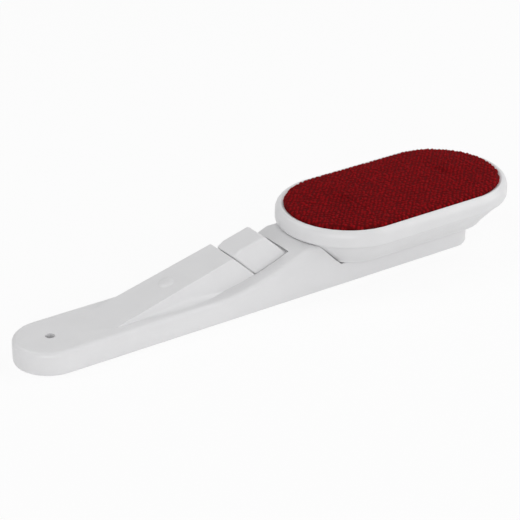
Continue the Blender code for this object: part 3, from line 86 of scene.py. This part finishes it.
# Velour pad
PAD_HALF = 28.5 * MM
PAD_RADIUS = 31.2 * MM
PAD_LOW = 31.0 * MM
PAD_EDGE = 35.1 * MM
PAD_MIDDLE = 36.6 * MM
PAD_ROUND = 1.7 * MM
PAD_STEP = 0.3 * MM
TUFT_PITCH_X = 2.6 * MM
TUFT_PITCH_Y = 1.3 * MM
TUFT_RADIUS = 0.78 * MM
TUFT_HEIGHT = 0.62 * MM
TUFT_SEED = 11
TUFT_ROWS = 80
TUFT_COLUMNS = 80
TUFT_SHIFT_X_SHARE = 0.2
TUFT_SHIFT_Y_SHARE = 0.17
TUFT_LEAST_HEIGHT_SHARE = 0.6
TUFT_WIDTH_SHARES = (0.85, 1.15)
TUFT_LENGTH_SHARE = 1.25
TUFT_BLUNTNESS = 0.75
TUFT_LEAN_SHARE = 0.25
PILE_GRAIN = 0.05 * MM
PILE_FADE = 1.6 * MM

# Foam pad
FOAM_RADIUS = 29.6 * MM
FOAM_EDGE = 33.4 * MM
FOAM_MIDDLE = 34.6 * MM
FOAM_ROUND = 0.6 * MM
FOAM_STEP = 1.0 * MM
FOAM_PORE = 0.12 * MM
FOAM_SEED = 5

# The least number of steps round a pad's upper edge
LEAST_TURNS = 3

# Colours
WHITE_GLOSS = (0.72, 0.718, 0.726)
WHITE_SATIN = (0.7, 0.698, 0.704)
# The pile's colours: painted shade at the foot of the tufts, the red in between, and a painted highlight
# at their tips
PILE_FOOT_PAINTED_SHADE = (0.095, 0.001, 0.002)
PILE_MIDDLE = (0.17, 0.0015, 0.003)
PILE_TIP_PAINTED_HIGHLIGHT = (0.28, 0.003, 0.006)
PILE_SHEEN = (0.9, 0.06, 0.08)
FOAM_FRESH = (0.86, 0.8, 0.6)
FOAM_AGED = (0.8, 0.72, 0.5)
# Painted shade for the middle of the foam's pores
FOAM_PORE_PAINTED_SHADE = (0.5, 0.42, 0.25)
PLATED_STEEL = (0.66, 0.67, 0.69)
WEIGHT_DARK = (0.42, 0.41, 0.39)
WEIGHT_LIGHT = (0.54, 0.53, 0.5)
WEIGHT_GRAIN = (0.24, 0.23, 0.22)
CELL_STEEL = (0.6, 0.61, 0.63)
CELL_JACKET = (0.035, 0.045, 0.07)
CELL_COPPER = (0.5, 0.22, 0.1)
CELL_SCUFF = (0.3, 0.31, 0.33)
BOARD_MASK = (0.012, 0.11, 0.045)
BOARD_MASK_LIGHT = (0.016, 0.13, 0.05)
BOARD_TRACK = (0.03, 0.24, 0.1)
BOARD_WEAVE = (0.01, 0.07, 0.03)
NYLON_DARK = (0.76, 0.74, 0.66)
NYLON_LIGHT = (0.84, 0.82, 0.75)
BLACK_PLASTIC = (0.03, 0.03, 0.032)
RED_PLASTIC = (0.6, 0.05, 0.04)
BLACK_INSULATION = (0.02, 0.02, 0.022)
RED_INSULATION = (0.5, 0.02, 0.02)

# Each moulded plastic's colour, roughness, size of its grain and depth of its grain
PLASTICS = {
    "white_gloss": (WHITE_GLOSS, 0.34, 0.35 * MM, 0.006 * MM),
    "white_satin": (WHITE_SATIN, 0.5, 0.18 * MM, 0.02 * MM),
    "black_plastic": (BLACK_PLASTIC, 0.48, 0.15 * MM, 0.02 * MM),
    "red_plastic": (RED_PLASTIC, 0.42, 0.15 * MM, 0.015 * MM),
}

# Most of a noise's values lie between these
NOISE_LOW = 0.3
NOISE_HIGH = 0.7


# Node helpers
class Shader:
    """A short way to write one material's nodes."""

    def __init__(self, name):
        self.material = bpy.data.materials.new(name)
        self.material.use_nodes = True
        self.tree = self.material.node_tree
        self.shader = self.tree.nodes["Principled BSDF"]
        coordinates = self.tree.nodes.new("ShaderNodeTexCoord")
        self.place = coordinates.outputs["Object"]

    def link(self, source, target):
        self.tree.links.new(source, target)

    def stretched(self, x, y, z):
        """Object coordinates with each axis scaled."""
        mapping = self.tree.nodes.new("ShaderNodeMapping")
        mapping.inputs["Scale"].default_value = (x, y, z)
        self.link(self.place, mapping.inputs["Vector"])
        return mapping.outputs["Vector"]

    def noise(self, size, detail, rough, place=None):
        """Noise with features of about that size, in metres."""
        node = self.tree.nodes.new("ShaderNodeTexNoise")
        node.inputs["Scale"].default_value = 1.0 / size
        node.inputs["Detail"].default_value = detail
        node.inputs["Roughness"].default_value = rough
        self.link(place or self.place, node.inputs["Vector"])
        return node.outputs["Fac"]

    def cells(self, size):
        """Distance to the nearest point of a Voronoi pattern of that size, in metres."""
        node = self.tree.nodes.new("ShaderNodeTexVoronoi")
        node.inputs["Scale"].default_value = 1.0 / size
        self.link(self.place, node.inputs["Vector"])
        return node.outputs["Distance"]

    def spread(self, value, low, high, start=NOISE_LOW, end=NOISE_HIGH):
        """A value from start to end mapped to low to high."""
        node = self.tree.nodes.new("ShaderNodeMapRange")
        node.inputs["From Min"].default_value = start
        node.inputs["From Max"].default_value = end
        node.inputs["To Min"].default_value = low
        node.inputs["To Max"].default_value = high
        self.link(value, node.inputs["Value"])
        return node.outputs["Result"]

    def ramp(self, value, stops, interpolation="LINEAR"):
        """A colour ramp through (position, colour) stops."""
        node = self.tree.nodes.new("ShaderNodeValToRGB")
        node.color_ramp.interpolation = interpolation
        elements = node.color_ramp.elements
        while len(elements) < len(stops):
            elements.new(0.5)
        for element, (position, colour) in zip(elements, stops):
            element.position = position
            element.color = (*colour, 1.0)
        self.link(value, node.inputs["Fac"])
        return node.outputs["Color"]

    def varied(self, value, first, second):
        """A colour that runs from first to second over most of a noise's range."""
        return self.ramp(value, [(NOISE_LOW, first), (NOISE_HIGH, second)])

    def blended(self, share, first, second):
        """A linked colour, first, mixed with a fixed one by a linked share."""
        node = self.tree.nodes.new("ShaderNodeMix")
        node.data_type = "RGBA"
        factor, first_colour, second_colour = node.inputs[0], node.inputs[6], node.inputs[7]
        self.link(share, factor)
        self.link(first, first_colour)
        second_colour.default_value = (*second, 1.0)
        return node.outputs[2]

    def summed(self, first, second, operation="ADD"):
        """Two linked values, added or otherwise combined."""
        node = self.tree.nodes.new("ShaderNodeMath")
        node.operation = operation
        self.link(first, node.inputs[0])
        self.link(second, node.inputs[1])
        return node.outputs[0]

    def attribute(self, name):
        node = self.tree.nodes.new("ShaderNodeAttribute")
        node.attribute_name = name
        return node.outputs["Fac"]

    def bump(self, height, depth):
        """Bump of that depth, in metres."""
        node = self.tree.nodes.new("ShaderNodeBump")
        node.inputs["Strength"].default_value = 1.0
        node.inputs["Distance"].default_value = depth
        self.link(height, node.inputs["Height"])
        self.link(node.outputs["Normal"], self.shader.inputs["Normal"])

    def colour(self, value):
        self.link(value, self.shader.inputs["Base Color"])

    def roughness(self, value):
        self.link(value, self.shader.inputs["Roughness"])

    def fixed(self, **values):
        """Values that are the same all over, set on the shader's own sockets."""
        for name, value in values.items():
            self.shader.inputs[name.replace("_", " ")].default_value = value


def scaled(colour, share):
    return tuple(channel * share for channel in colour)


# Materials
def moulded_plastic(name, colour, rough, grain, grain_depth):
    """Moulded plastic: faint flow mottling, a fine mould grain and uneven gloss."""
    s = Shader(name)
    mottling = s.noise(size=14.0 * MM, detail=3.0, rough=0.55)
    tint = s.varied(mottling, scaled(colour, share=0.985), scaled(colour, share=1.015))
    specks = s.noise(size=0.5 * MM, detail=2.0, rough=0.6)
    speck_share = s.spread(specks, low=0.0, high=0.05, start=0.55, end=0.75)
    s.colour(s.blended(speck_share, tint, scaled(colour, share=0.8)))
    handling = s.noise(size=6.0 * MM, detail=4.0, rough=0.65)
    s.roughness(s.spread(handling, low=rough - 0.05, high=rough + 0.06))
    s.bump(s.noise(size=grain, detail=3.0, rough=0.55), depth=grain_depth)
    s.fixed(IOR=1.5)
    return s.material


def velour():
    """Short red pile: painted shade makes it dark between the tufts, and a painted highlight makes it
    brighter and more saturated at their tips.
    """
    s = Shader("velour")
    tip = s.attribute("tip")
    fibre = s.noise(size=0.35 * MM, detail=4.0, rough=0.7)
    patch = s.noise(size=7.0 * MM, detail=2.0, rough=0.5)
    level = s.summed(tip, s.spread(fibre, low=-0.14, high=0.14))
    level = s.summed(level, s.spread(patch, low=-0.08, high=0.08))
    # Painted shade and painted highlight: the tufts' height share darkens the pile low between them and
    # brightens it at their tips, and fibre and patch noise vary the tone at random
    s.colour(s.ramp(level, [(0.05, PILE_FOOT_PAINTED_SHADE), (0.45, PILE_MIDDLE), (0.85, PILE_TIP_PAINTED_HIGHLIGHT)]))
    s.roughness(s.spread(fibre, low=0.75, high=0.95))
    s.bump(fibre, depth=0.12 * MM)
    s.fixed(Sheen_Weight=0.12, Sheen_Roughness=0.4, Sheen_Tint=(*PILE_SHEEN, 1.0))
    s.fixed(Specular_IOR_Level=0.08)
    return s.material


def foam():
    """Open cell foam: round pores darkened with painted shade, cream with yellowing."""
    s = Shader("foam")
    cells = s.cells(size=0.7 * MM)
    aged = s.noise(size=9.0 * MM, detail=3.0, rough=0.6)
    colour = s.varied(aged, FOAM_FRESH, FOAM_AGED)
    # Painted shade darkens the middle of each pore
    s.colour(s.blended(s.spread(cells, low=0.6, high=0.0, start=0.05, end=0.4), colour, FOAM_PORE_PAINTED_SHADE))
    s.roughness(s.spread(cells, low=0.95, high=0.85, start=0.1, end=0.6))
    s.bump(cells, depth=0.3 * MM)
    s.fixed(Sheen_Weight=0.1)
    return s.material


def plated_steel():
    """Plated steel: fine drawn lines, uneven gloss and a few dull spots."""
    s = Shader("plated_steel_look")
    drawn = s.stretched(x=1.0 / 6.0, y=1.0, z=1.0)
    lines = s.noise(size=0.25 * MM, detail=3.0, rough=0.6, place=drawn)
    dull = s.noise(size=1.6 * MM, detail=4.0, rough=0.65)
    tint = s.varied(dull, scaled(PLATED_STEEL, share=0.88), scaled(PLATED_STEEL, share=1.06))
    line_share = s.spread(lines, low=0.0, high=0.25)
    s.colour(s.blended(line_share, tint, scaled(PLATED_STEEL, share=0.75)))
    s.roughness(s.spread(dull, low=0.22, high=0.4))
    s.bump(lines, depth=0.006 * MM)
    s.fixed(Metallic=1.0, Anisotropic=0.35)
    return s.material


def sintered_metal():
    """The eccentric weight: pressed and sintered, so grainy and dull."""
    s = Shader("sintered_metal")
    grains = s.cells(size=0.16 * MM)
    stain = s.noise(size=1.2 * MM, detail=4.0, rough=0.6)
    colour = s.varied(stain, WEIGHT_DARK, WEIGHT_LIGHT)
    s.colour(s.blended(s.spread(grains, low=0.35, high=0.0, start=0.0, end=0.5), colour, WEIGHT_GRAIN))
    s.roughness(s.spread(stain, low=0.48, high=0.66))
    s.bump(grains, depth=0.02 * MM)
    s.fixed(Metallic=0.85)
    return s.material


def cell_jacket():
    """The cell's plain printed jacket: dark with one copper band, no words, and bare steel ends."""
    s = Shader("cell_jacket")
    axes = s.tree.nodes.new("ShaderNodeSeparateXYZ")
    s.link(s.place, axes.inputs[0])
    low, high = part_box("battery_cell")
    along = s.spread(axes.outputs["X"], low=0.0, high=1.0, start=low.x, end=high.x)
    stops = [(0.0, CELL_STEEL), (0.02, CELL_JACKET), (0.72, CELL_COPPER), (0.94, CELL_STEEL)]
    bands = s.ramp(along, stops, "CONSTANT")
    scuffs = s.noise(size=2.2 * MM, detail=5.0, rough=0.7)
    s.colour(s.blended(s.spread(scuffs, low=0.0, high=0.3, start=0.58, end=0.8), bands, CELL_SCUFF))
    s.roughness(s.spread(scuffs, low=0.24, high=0.42))
    s.bump(s.noise(size=0.6 * MM, detail=3.0, rough=0.6), depth=0.008 * MM)
    s.fixed(Metallic=0.55)
    return s.material


def circuit_board():
    """Solder mask over copper tracks, with the glass weave showing faintly."""
    s = Shader("circuit_board")
    weave_x = s.noise(size=0.4 * MM, detail=2.0, rough=0.5, place=s.stretched(x=1.0, y=0.15, z=1.0))
    weave_y = s.noise(size=0.4 * MM, detail=2.0, rough=0.5, place=s.stretched(x=0.15, y=1.0, z=1.0))
    track_pitch = 4.0 * MM
    track_width_share = 0.05
    tracks = s.tree.nodes.new("ShaderNodeTexBrick")
    tracks.inputs["Scale"].default_value = 1.0 / track_pitch
    tracks.inputs["Mortar Size"].default_value = track_width_share
    tracks.inputs["Color1"].default_value = (*BOARD_MASK, 1.0)
    tracks.inputs["Color2"].default_value = (*BOARD_MASK_LIGHT, 1.0)
    tracks.inputs["Mortar"].default_value = (*BOARD_TRACK, 1.0)
    s.link(s.place, tracks.inputs["Vector"])
    weave = s.summed(weave_x, weave_y, "MULTIPLY")
    weave_share = s.spread(weave, low=0.0, high=0.35, start=0.15, end=0.4)
    s.colour(s.blended(weave_share, tracks.outputs["Color"], BOARD_WEAVE))
    s.roughness(s.spread(weave_x, low=0.3, high=0.42))
    s.bump(tracks.outputs["Fac"], depth=0.03 * MM)
    s.fixed(Coat_Weight=0.3)
    return s.material


def insulation(name, colour):
    """A lead's soft insulation: slightly waxy, with fine draw lines along it."""
    s = Shader(name)
    lines = s.noise(size=0.3 * MM, detail=3.0, rough=0.6, place=s.stretched(x=0.2, y=1.0, z=1.0))
    wax = s.noise(size=1.8 * MM, detail=3.0, rough=0.55)
    s.colour(s.varied(wax, scaled(colour, share=0.8), scaled(colour, share=1.2)))
    s.roughness(s.spread(wax, low=0.42, high=0.6))
    s.bump(lines, depth=0.01 * MM)
    s.fixed(IOR=1.46)
    return s.material


def natural_nylon():
    """The pivot stud's uncoloured nylon, a little translucent."""
    s = Shader("natural_nylon")
    cloud = s.noise(size=2.5 * MM, detail=3.0, rough=0.55)
    s.colour(s.varied(cloud, NYLON_DARK, NYLON_LIGHT))
    s.roughness(s.spread(cloud, low=0.34, high=0.46))
    s.bump(s.noise(size=0.2 * MM, detail=2.0, rough=0.5), depth=0.008 * MM)
    s.fixed(Subsurface_Weight=0.15, Subsurface_Scale=0.8 * MM, IOR=1.53)
    return s.material


def dress(looks, smoothing):
    """Gives each CAD node its slot's material and smooths it between its sharp edges."""
    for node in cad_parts.values():
        for index, material in enumerate(node.data.materials):
            node.material_slots[index].link = "OBJECT"
            node.material_slots[index].material = looks[material.name.split(".")[0]]
        smooth(node, smoothing)


def smooth(item, smoothing):
    """Smooths a piece and keeps its large faces flat."""
    modifier = item.modifiers.new("smooth_by_angle", "NODES")
    modifier.node_group = smoothing
    weighting = item.modifiers.new("face_weighting", "WEIGHTED_NORMAL")
    weighting.keep_sharp = True
    weighting.weight = FACE_WEIGHT


def smooth_group(angle):
    """Joins the imported triangles and marks edges above an angle as sharp."""
    group = bpy.data.node_groups.new("smooth_by_angle", "GeometryNodeTree")
    group.interface.new_socket("Geometry", in_out="INPUT", socket_type="NodeSocketGeometry")
    group.interface.new_socket("Geometry", in_out="OUTPUT", socket_type="NodeSocketGeometry")
    start = group.nodes.new("NodeGroupInput")
    end = group.nodes.new("NodeGroupOutput")
    weld = group.nodes.new("GeometryNodeMergeByDistance")
    weld.inputs["Distance"].default_value = WELD_DISTANCE
    drop = group.nodes.new("GeometryNodeRemoveAttribute")
    drop.inputs["Name"].default_value = "custom_normal"
    faces = group.nodes.new("GeometryNodeSetShadeSmooth")
    edges = group.nodes.new("GeometryNodeSetShadeSmooth")
    edges.domain = "EDGE"
    turn = group.nodes.new("GeometryNodeInputMeshEdgeAngle")
    compare = group.nodes.new("FunctionNodeCompare")
    compare.operation = "LESS_THAN"
    compare.inputs["B"].default_value = angle
    link = group.links.new
    link(start.outputs[0], drop.inputs["Geometry"])
    link(drop.outputs["Geometry"], weld.inputs["Geometry"])
    link(weld.outputs["Geometry"], faces.inputs["Geometry"])
    link(faces.outputs["Geometry"], edges.inputs["Geometry"])
    link(turn.outputs["Unsigned Angle"], compare.inputs["A"])
    link(compare.outputs["Result"], edges.inputs["Shade Smooth"])
    link(edges.outputs["Geometry"], end.inputs[0])
    return group


# Pads
def oval(radius, step):
    """A ring round an oval: for each point its place on the spine and the outward direction."""
    straight = round(2.0 * PAD_HALF / step)
    turn = round(math.pi * radius / step)
    points = []
    for k in range(straight):
        points.append((-PAD_HALF + 2.0 * PAD_HALF * k / straight, 0.0, -1.0))
    for k in range(turn):
        angle = -math.pi / 2 + math.pi * k / turn
        points.append((PAD_HALF, math.cos(angle), math.sin(angle)))
    for k in range(straight):
        points.append((PAD_HALF - 2.0 * PAD_HALF * k / straight, 0.0, 1.0))
    for k in range(turn):
        angle = math.pi / 2 + math.pi * k / turn
        points.append((-PAD_HALF, math.cos(angle), math.sin(angle)))
    return np.array(points)


def pad_profile(radius, low, edge, middle, rounding, step):
    """(radius, height) points from the middle of a crowned pad down to its foot."""
    flat = radius - rounding
    count = round(flat / step)
    top = [(flat * k / count, middle + (edge - middle) * (k / count) ** 2) for k in range(1, count + 1)]
    turns = max(LEAST_TURNS, round(rounding * math.pi / 2 / step))
    bend = []
    for k in range(1, turns + 1):
        angle = math.pi / 2 * (1.0 - k / turns)
        bend.append((flat + rounding * math.cos(angle), edge - rounding + rounding * math.sin(angle)))
    drop = round((edge - rounding - low) / step)
    side = [(radius, edge - rounding + (low - edge + rounding) * k / drop) for k in range(1, drop + 1)]
    return np.array(top + bend + side)


def pad_mesh(name, profile, step, displace):
    """A closed crowned oval pad. displace moves its points and gives each one's tip value."""
    around = oval(profile[:, 0].max(), step)
    rings, count = len(profile), len(around)
    x = around[None, :, 0] + profile[:, None, 0] * around[None, :, 1]
    y = profile[:, None, 0] * around[None, :, 2]
    z = np.repeat(profile[:, None, 1], count, axis=1)
    slope = np.gradient(profile, axis=0)
    steep = np.hypot(slope[:, 0], slope[:, 1])
    out, rise = -slope[:, 1] / steep, slope[:, 0] / steep
    normal_x = out[:, None] * around[None, :, 1]
    normal_y = out[:, None] * around[None, :, 2]
    normal_z = np.repeat(rise[:, None], count, axis=1)
    normal = np.stack([normal_x, normal_y, normal_z], axis=-1)
    places, tips = displace(np.stack([x, y, z], axis=-1), normal, profile)
    spine = round(2.0 * PAD_HALF / step)
    # The crown is a parabola, so its first step is a third of the next one
    middle_z = profile[0, 1] + (profile[0, 1] - profile[1, 1]) / 3.0
    spine_x = -PAD_HALF + 2.0 * PAD_HALF * np.arange(spine + 1) / spine
    spine_places = np.stack([spine_x, np.zeros(spine + 1), np.full(spine + 1, middle_z)], axis=-1)
    upright = np.zeros((1, spine + 1, 3)) + (0, 0, 1)
    spine_places, spine_tips = displace(spine_places[None], upright, None)
    faces = pad_faces(rings, count, spine)
    mesh = bpy.data.meshes.new(name)
    mesh.from_pydata(np.concatenate([places.reshape(-1, 3), spine_places[0]]).tolist(), [], faces)
    mesh.polygons.foreach_set("use_smooth", [True] * len(mesh.polygons))
    mesh.polygons[len(faces) - 1].use_smooth = False
    values = mesh.attributes.new("tip", "FLOAT", "POINT")
    values.data.foreach_set("value", np.concatenate([tips.reshape(-1), spine_tips[0]]).astype(np.float32))
    mesh.validate()
    pad = bpy.data.objects.new(name, mesh)
    bpy.context.scene.collection.objects.link(pad)
    return pad


def pad_faces(rings, count, spine):
    """The faces between the rings, from the first ring to the spine, and the flat underside last."""
    faces = []
    for r in range(rings - 1):
        for k in range(count):
            after = (k + 1) % count
            faces.append((r * count + k, r * count + after, (r + 1) * count + after, (r + 1) * count + k))
    first = rings * count
    turn = (count - 2 * spine) // 2
    for k in range(spine):
        faces.append((k, first + k, first + k + 1, k + 1))
        back = spine + turn + k
        faces.append((back, first + spine - k, first + spine - k - 1, back + 1))
    for k in range(turn):
        faces.append((spine + k, first + spine, spine + k + 1))
        far = 2 * spine + turn + k
        faces.append((far, first, (far + 1) % count))
    faces.append(tuple((rings - 1) * count + k for k in range(count)))
    return faces


def tufts(places, normal, profile):
    """Raises staggered rows of leaning tufts and gives each point its share of a tuft's height."""
    random = np.random.default_rng(TUFT_SEED)
    rows, columns = TUFT_ROWS, TUFT_COLUMNS
    reach = (TUFT_SHIFT_X_SHARE * TUFT_PITCH_X, TUFT_SHIFT_Y_SHARE * TUFT_PITCH_Y)
    shift = random.uniform(-1.0, 1.0, (rows, columns, 2)) * reach
    tall = random.uniform(TUFT_LEAST_HEIGHT_SHARE, 1.0, (rows, columns))
    wide = random.uniform(*TUFT_WIDTH_SHARES, (rows, columns)) * TUFT_RADIUS
    x, y = places[..., 0], places[..., 1]
    row = np.round(y / TUFT_PITCH_Y).astype(int)
    best = np.zeros_like(x)
    for step_y in (-1, 0, 1):
        j = row + step_y
        offset = (j % 2) / 2
        column = np.round(x / TUFT_PITCH_X - offset).astype(int)
        for step_x in (-1, 0, 1):
            i = column + step_x
            jj = np.clip(j + rows // 2, 0, rows - 1)
            ii = np.clip(i + columns // 2, 0, columns - 1)
            centre_x = (i + offset) * TUFT_PITCH_X + shift[jj, ii, 0]
            centre_y = j * TUFT_PITCH_Y + shift[jj, ii, 1]
            away_x = (x - centre_x) / (TUFT_LENGTH_SHARE * wide[jj, ii])
            away_y = (y - centre_y) / wide[jj, ii]
            near = np.clip(1.0 - (away_x**2 + away_y**2), 0.0, 1.0)
            best = np.maximum(best, tall[jj, ii] * near**TUFT_BLUNTNESS)
    grain = random.uniform(-1.0, 1.0, x.shape)
    fade = np.ones_like(x)
    if profile is not None:
        fade = np.clip((profile[:, 1] - PAD_LOW) / PILE_FADE, 0.0, 1.0)[:, None] * fade
    lift = (best * TUFT_HEIGHT + grain * PILE_GRAIN) * fade
    lean = np.array((TUFT_LEAN_SHARE, 0.0, 0.0)) * (best * TUFT_HEIGHT * fade)[..., None]
    return places + normal * lift[..., None] + lean, best * fade


def pores(places, normal, profile):
    """Small pits all over the foam, the same on its edge as on its top."""
    random = np.random.default_rng(FOAM_SEED)
    depth = random.uniform(0.0, 1.0, places.shape[:2]) * FOAM_PORE
    return places - normal * depth[..., None], np.zeros(places.shape[:2])


def velour_piece(material):
    """The velour: a crowned cover of tufts, which turns with the head."""
    profile = pad_profile(PAD_RADIUS, PAD_LOW, PAD_EDGE, PAD_MIDDLE, PAD_ROUND, PAD_STEP)
    piece = pad_mesh("velour_cover", profile, PAD_STEP, tufts)
    piece.data.materials.append(material)
    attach(piece, "head")
    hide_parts("velour_pad")


def foam_piece(material):
    """The foam under the velour."""
    profile = pad_profile(FOAM_RADIUS, PAD_LOW, FOAM_EDGE, FOAM_MIDDLE, FOAM_ROUND, FOAM_STEP)
    piece = pad_mesh("foam_core", profile, FOAM_STEP, pores)
    piece.data.materials.append(material)
    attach(piece, "head")
    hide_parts("foam_pad")


def spring_piece(material, smoothing):
    """The button's spring between the board and the button, copied as it stands from its CAD node."""
    piece = bpy.data.objects.new("return_spring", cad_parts["button_spring"].data.copy())
    bpy.context.scene.collection.objects.link(piece)
    piece.data.materials.clear()
    piece.data.materials.append(material)
    smooth(piece, smoothing)
    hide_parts("button_spring")
    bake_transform(piece)


# Stage
def white_for_view(tree):
    """1 for rays from the camera, in reflections and through glass, and 0 for all others."""
    path = tree.nodes.new("ShaderNodeLightPath")
    seen = tree.nodes.new("ShaderNodeMath")
    seen.operation = "MAXIMUM"
    tree.links.new(path.outputs["Is Camera Ray"], seen.inputs[0])
    tree.links.new(path.outputs["Is Glossy Ray"], seen.inputs[1])
    both = tree.nodes.new("ShaderNodeMath")
    both.operation = "MAXIMUM"
    tree.links.new(seen.outputs[0], both.inputs[0])
    tree.links.new(path.outputs["Is Transmission Ray"], both.inputs[1])
    return both.outputs[0]


def floor():
    """A pale floor that stays white to the eye but keeps a soft shadow."""
    mesh = bpy.data.meshes.new("floor")
    reach = FLOOR_REACH
    corners = [(-reach, -reach, 0.0), (reach, -reach, 0.0), (reach, reach, 0.0), (-reach, reach, 0.0)]
    mesh.from_pydata(corners, [], [(0, 1, 2, 3)])
    plane = bpy.data.objects.new("floor", mesh)
    plane.location.z = -FLOOR_DROP
    bpy.context.scene.collection.objects.link(plane)
    material = bpy.data.materials.new("floor_paper")
    material.use_nodes = True
    tree = material.node_tree
    shader = tree.nodes["Principled BSDF"]
    shader.inputs["Base Color"].default_value = (FLOOR_GREY, FLOOR_GREY, FLOOR_GREY, 1.0)
    shader.inputs["Roughness"].default_value = FLOOR_ROUGHNESS
    shader.inputs["Specular IOR Level"].default_value = FLOOR_SHINE
    glow = tree.nodes.new("ShaderNodeEmission")
    glow.inputs["Color"].default_value = (1.0, 1.0, 1.0, 1.0)
    glow.inputs["Strength"].default_value = 1.0
    mixing = tree.nodes.new("ShaderNodeMixShader")
    seen = white_for_view(tree)
    share = tree.nodes.new("ShaderNodeMath")
    share.operation = "MULTIPLY"
    share.inputs[1].default_value = FLOOR_WHITE_SHARE
    tree.links.new(seen, share.inputs[0])
    tree.links.new(share.outputs[0], mixing.inputs[0])
    tree.links.new(shader.outputs[0], mixing.inputs[1])
    tree.links.new(glow.outputs[0], mixing.inputs[2])
    tree.links.new(mixing.outputs[0], tree.nodes["Material Output"].inputs["Surface"])
    plane.data.materials.append(material)


def surroundings(level):
    """Even grey light from all round, and plain white to the eye."""
    world = bpy.data.worlds.new("studio")
    bpy.context.scene.world = world
    world.use_nodes = True
    tree = world.node_tree
    seen = white_for_view(tree)
    strength = tree.nodes.new("ShaderNodeMapRange")
    strength.inputs["To Min"].default_value = level
    strength.inputs["To Max"].default_value = 1.0
    tree.links.new(seen, strength.inputs["Value"])
    background = tree.nodes["Background"]
    background.inputs["Color"].default_value = (1.0, 1.0, 1.0, 1.0)
    tree.links.new(strength.outputs["Result"], background.inputs["Strength"])


def lamp(name, place, size, level):
    """A soft square lamp aimed at the brush. level is what it adds to a white face turned to it."""
    data = bpy.data.lights.new(name, "AREA")
    data.shape = "SQUARE"
    data.size = size
    direction = Vector(place) - LAMP_AIM
    data.energy = level * math.pi**2 * direction.length_squared
    item = bpy.data.objects.new(name, data)
    item.location = place
    item.rotation_euler = direction.to_track_quat("Z", "Y").to_euler()
    bpy.context.scene.collection.objects.link(item)


def camera():
    """The photograph's camera, turned to the left and lifted above the brush."""
    right = Vector((math.cos(CAMERA_TURN), -math.sin(CAMERA_TURN), 0.0))
    level = math.cos(CAMERA_LIFT)
    back = Vector((-math.sin(CAMERA_TURN) * level, -math.cos(CAMERA_TURN) * level, math.sin(CAMERA_LIFT)))
    up = back.cross(right)
    middle = FRAME_PIXELS / 2.0
    across = (AIM_PIXEL[0] - middle) / FOCAL_PIXELS * CAMERA_DISTANCE
    down = (AIM_PIXEL[1] - middle) / FOCAL_PIXELS * CAMERA_DISTANCE
    data = bpy.data.cameras.new("photo_camera")
    data.sensor_width = SENSOR_WIDTH
    data.lens = FOCAL_PIXELS / FRAME_PIXELS * data.sensor_width
    item = bpy.data.objects.new("photo_camera", data)
    matrix = Matrix((right, up, back)).transposed().to_4x4()
    matrix.translation = AIM + back * CAMERA_DISTANCE - right * across + up * down
    item.matrix_world = matrix
    bpy.context.scene.collection.objects.link(item)
    bpy.context.scene.camera = item


def materials():
    """One finished material for each of the record's slots."""
    looks = {slot: moulded_plastic(slot + "_look", *values) for slot, values in PLASTICS.items()}
    looks["red_velour"] = velour()
    looks["cream_foam"] = foam()
    looks["cell_jacket"] = cell_jacket()
    looks["plated_steel"] = plated_steel()
    looks["grey_weight"] = sintered_metal()
    looks["green_board"] = circuit_board()
    looks["nylon"] = natural_nylon()
    looks["black_insulation"] = insulation("black_insulation_look", BLACK_INSULATION)
    looks["red_insulation"] = insulation("red_insulation_look", RED_INSULATION)
    return looks


def main():
    """Dresses the frame, adds the soft pieces and the spring, and sets the stage."""
    looks = materials()
    smoothing = smooth_group(SHARP_ANGLE)
    dress(looks, smoothing)
    spring_piece(looks["plated_steel"], smoothing)
    velour_piece(looks["red_velour"])
    foam_piece(looks["cream_foam"])
    floor()
    surroundings(SURROUNDINGS_LEVEL)
    for name, place, size, level in LAMPS:
        lamp(name, place, size, level)
    camera()
    bpy.context.scene.view_settings.view_transform = "Standard"


main()
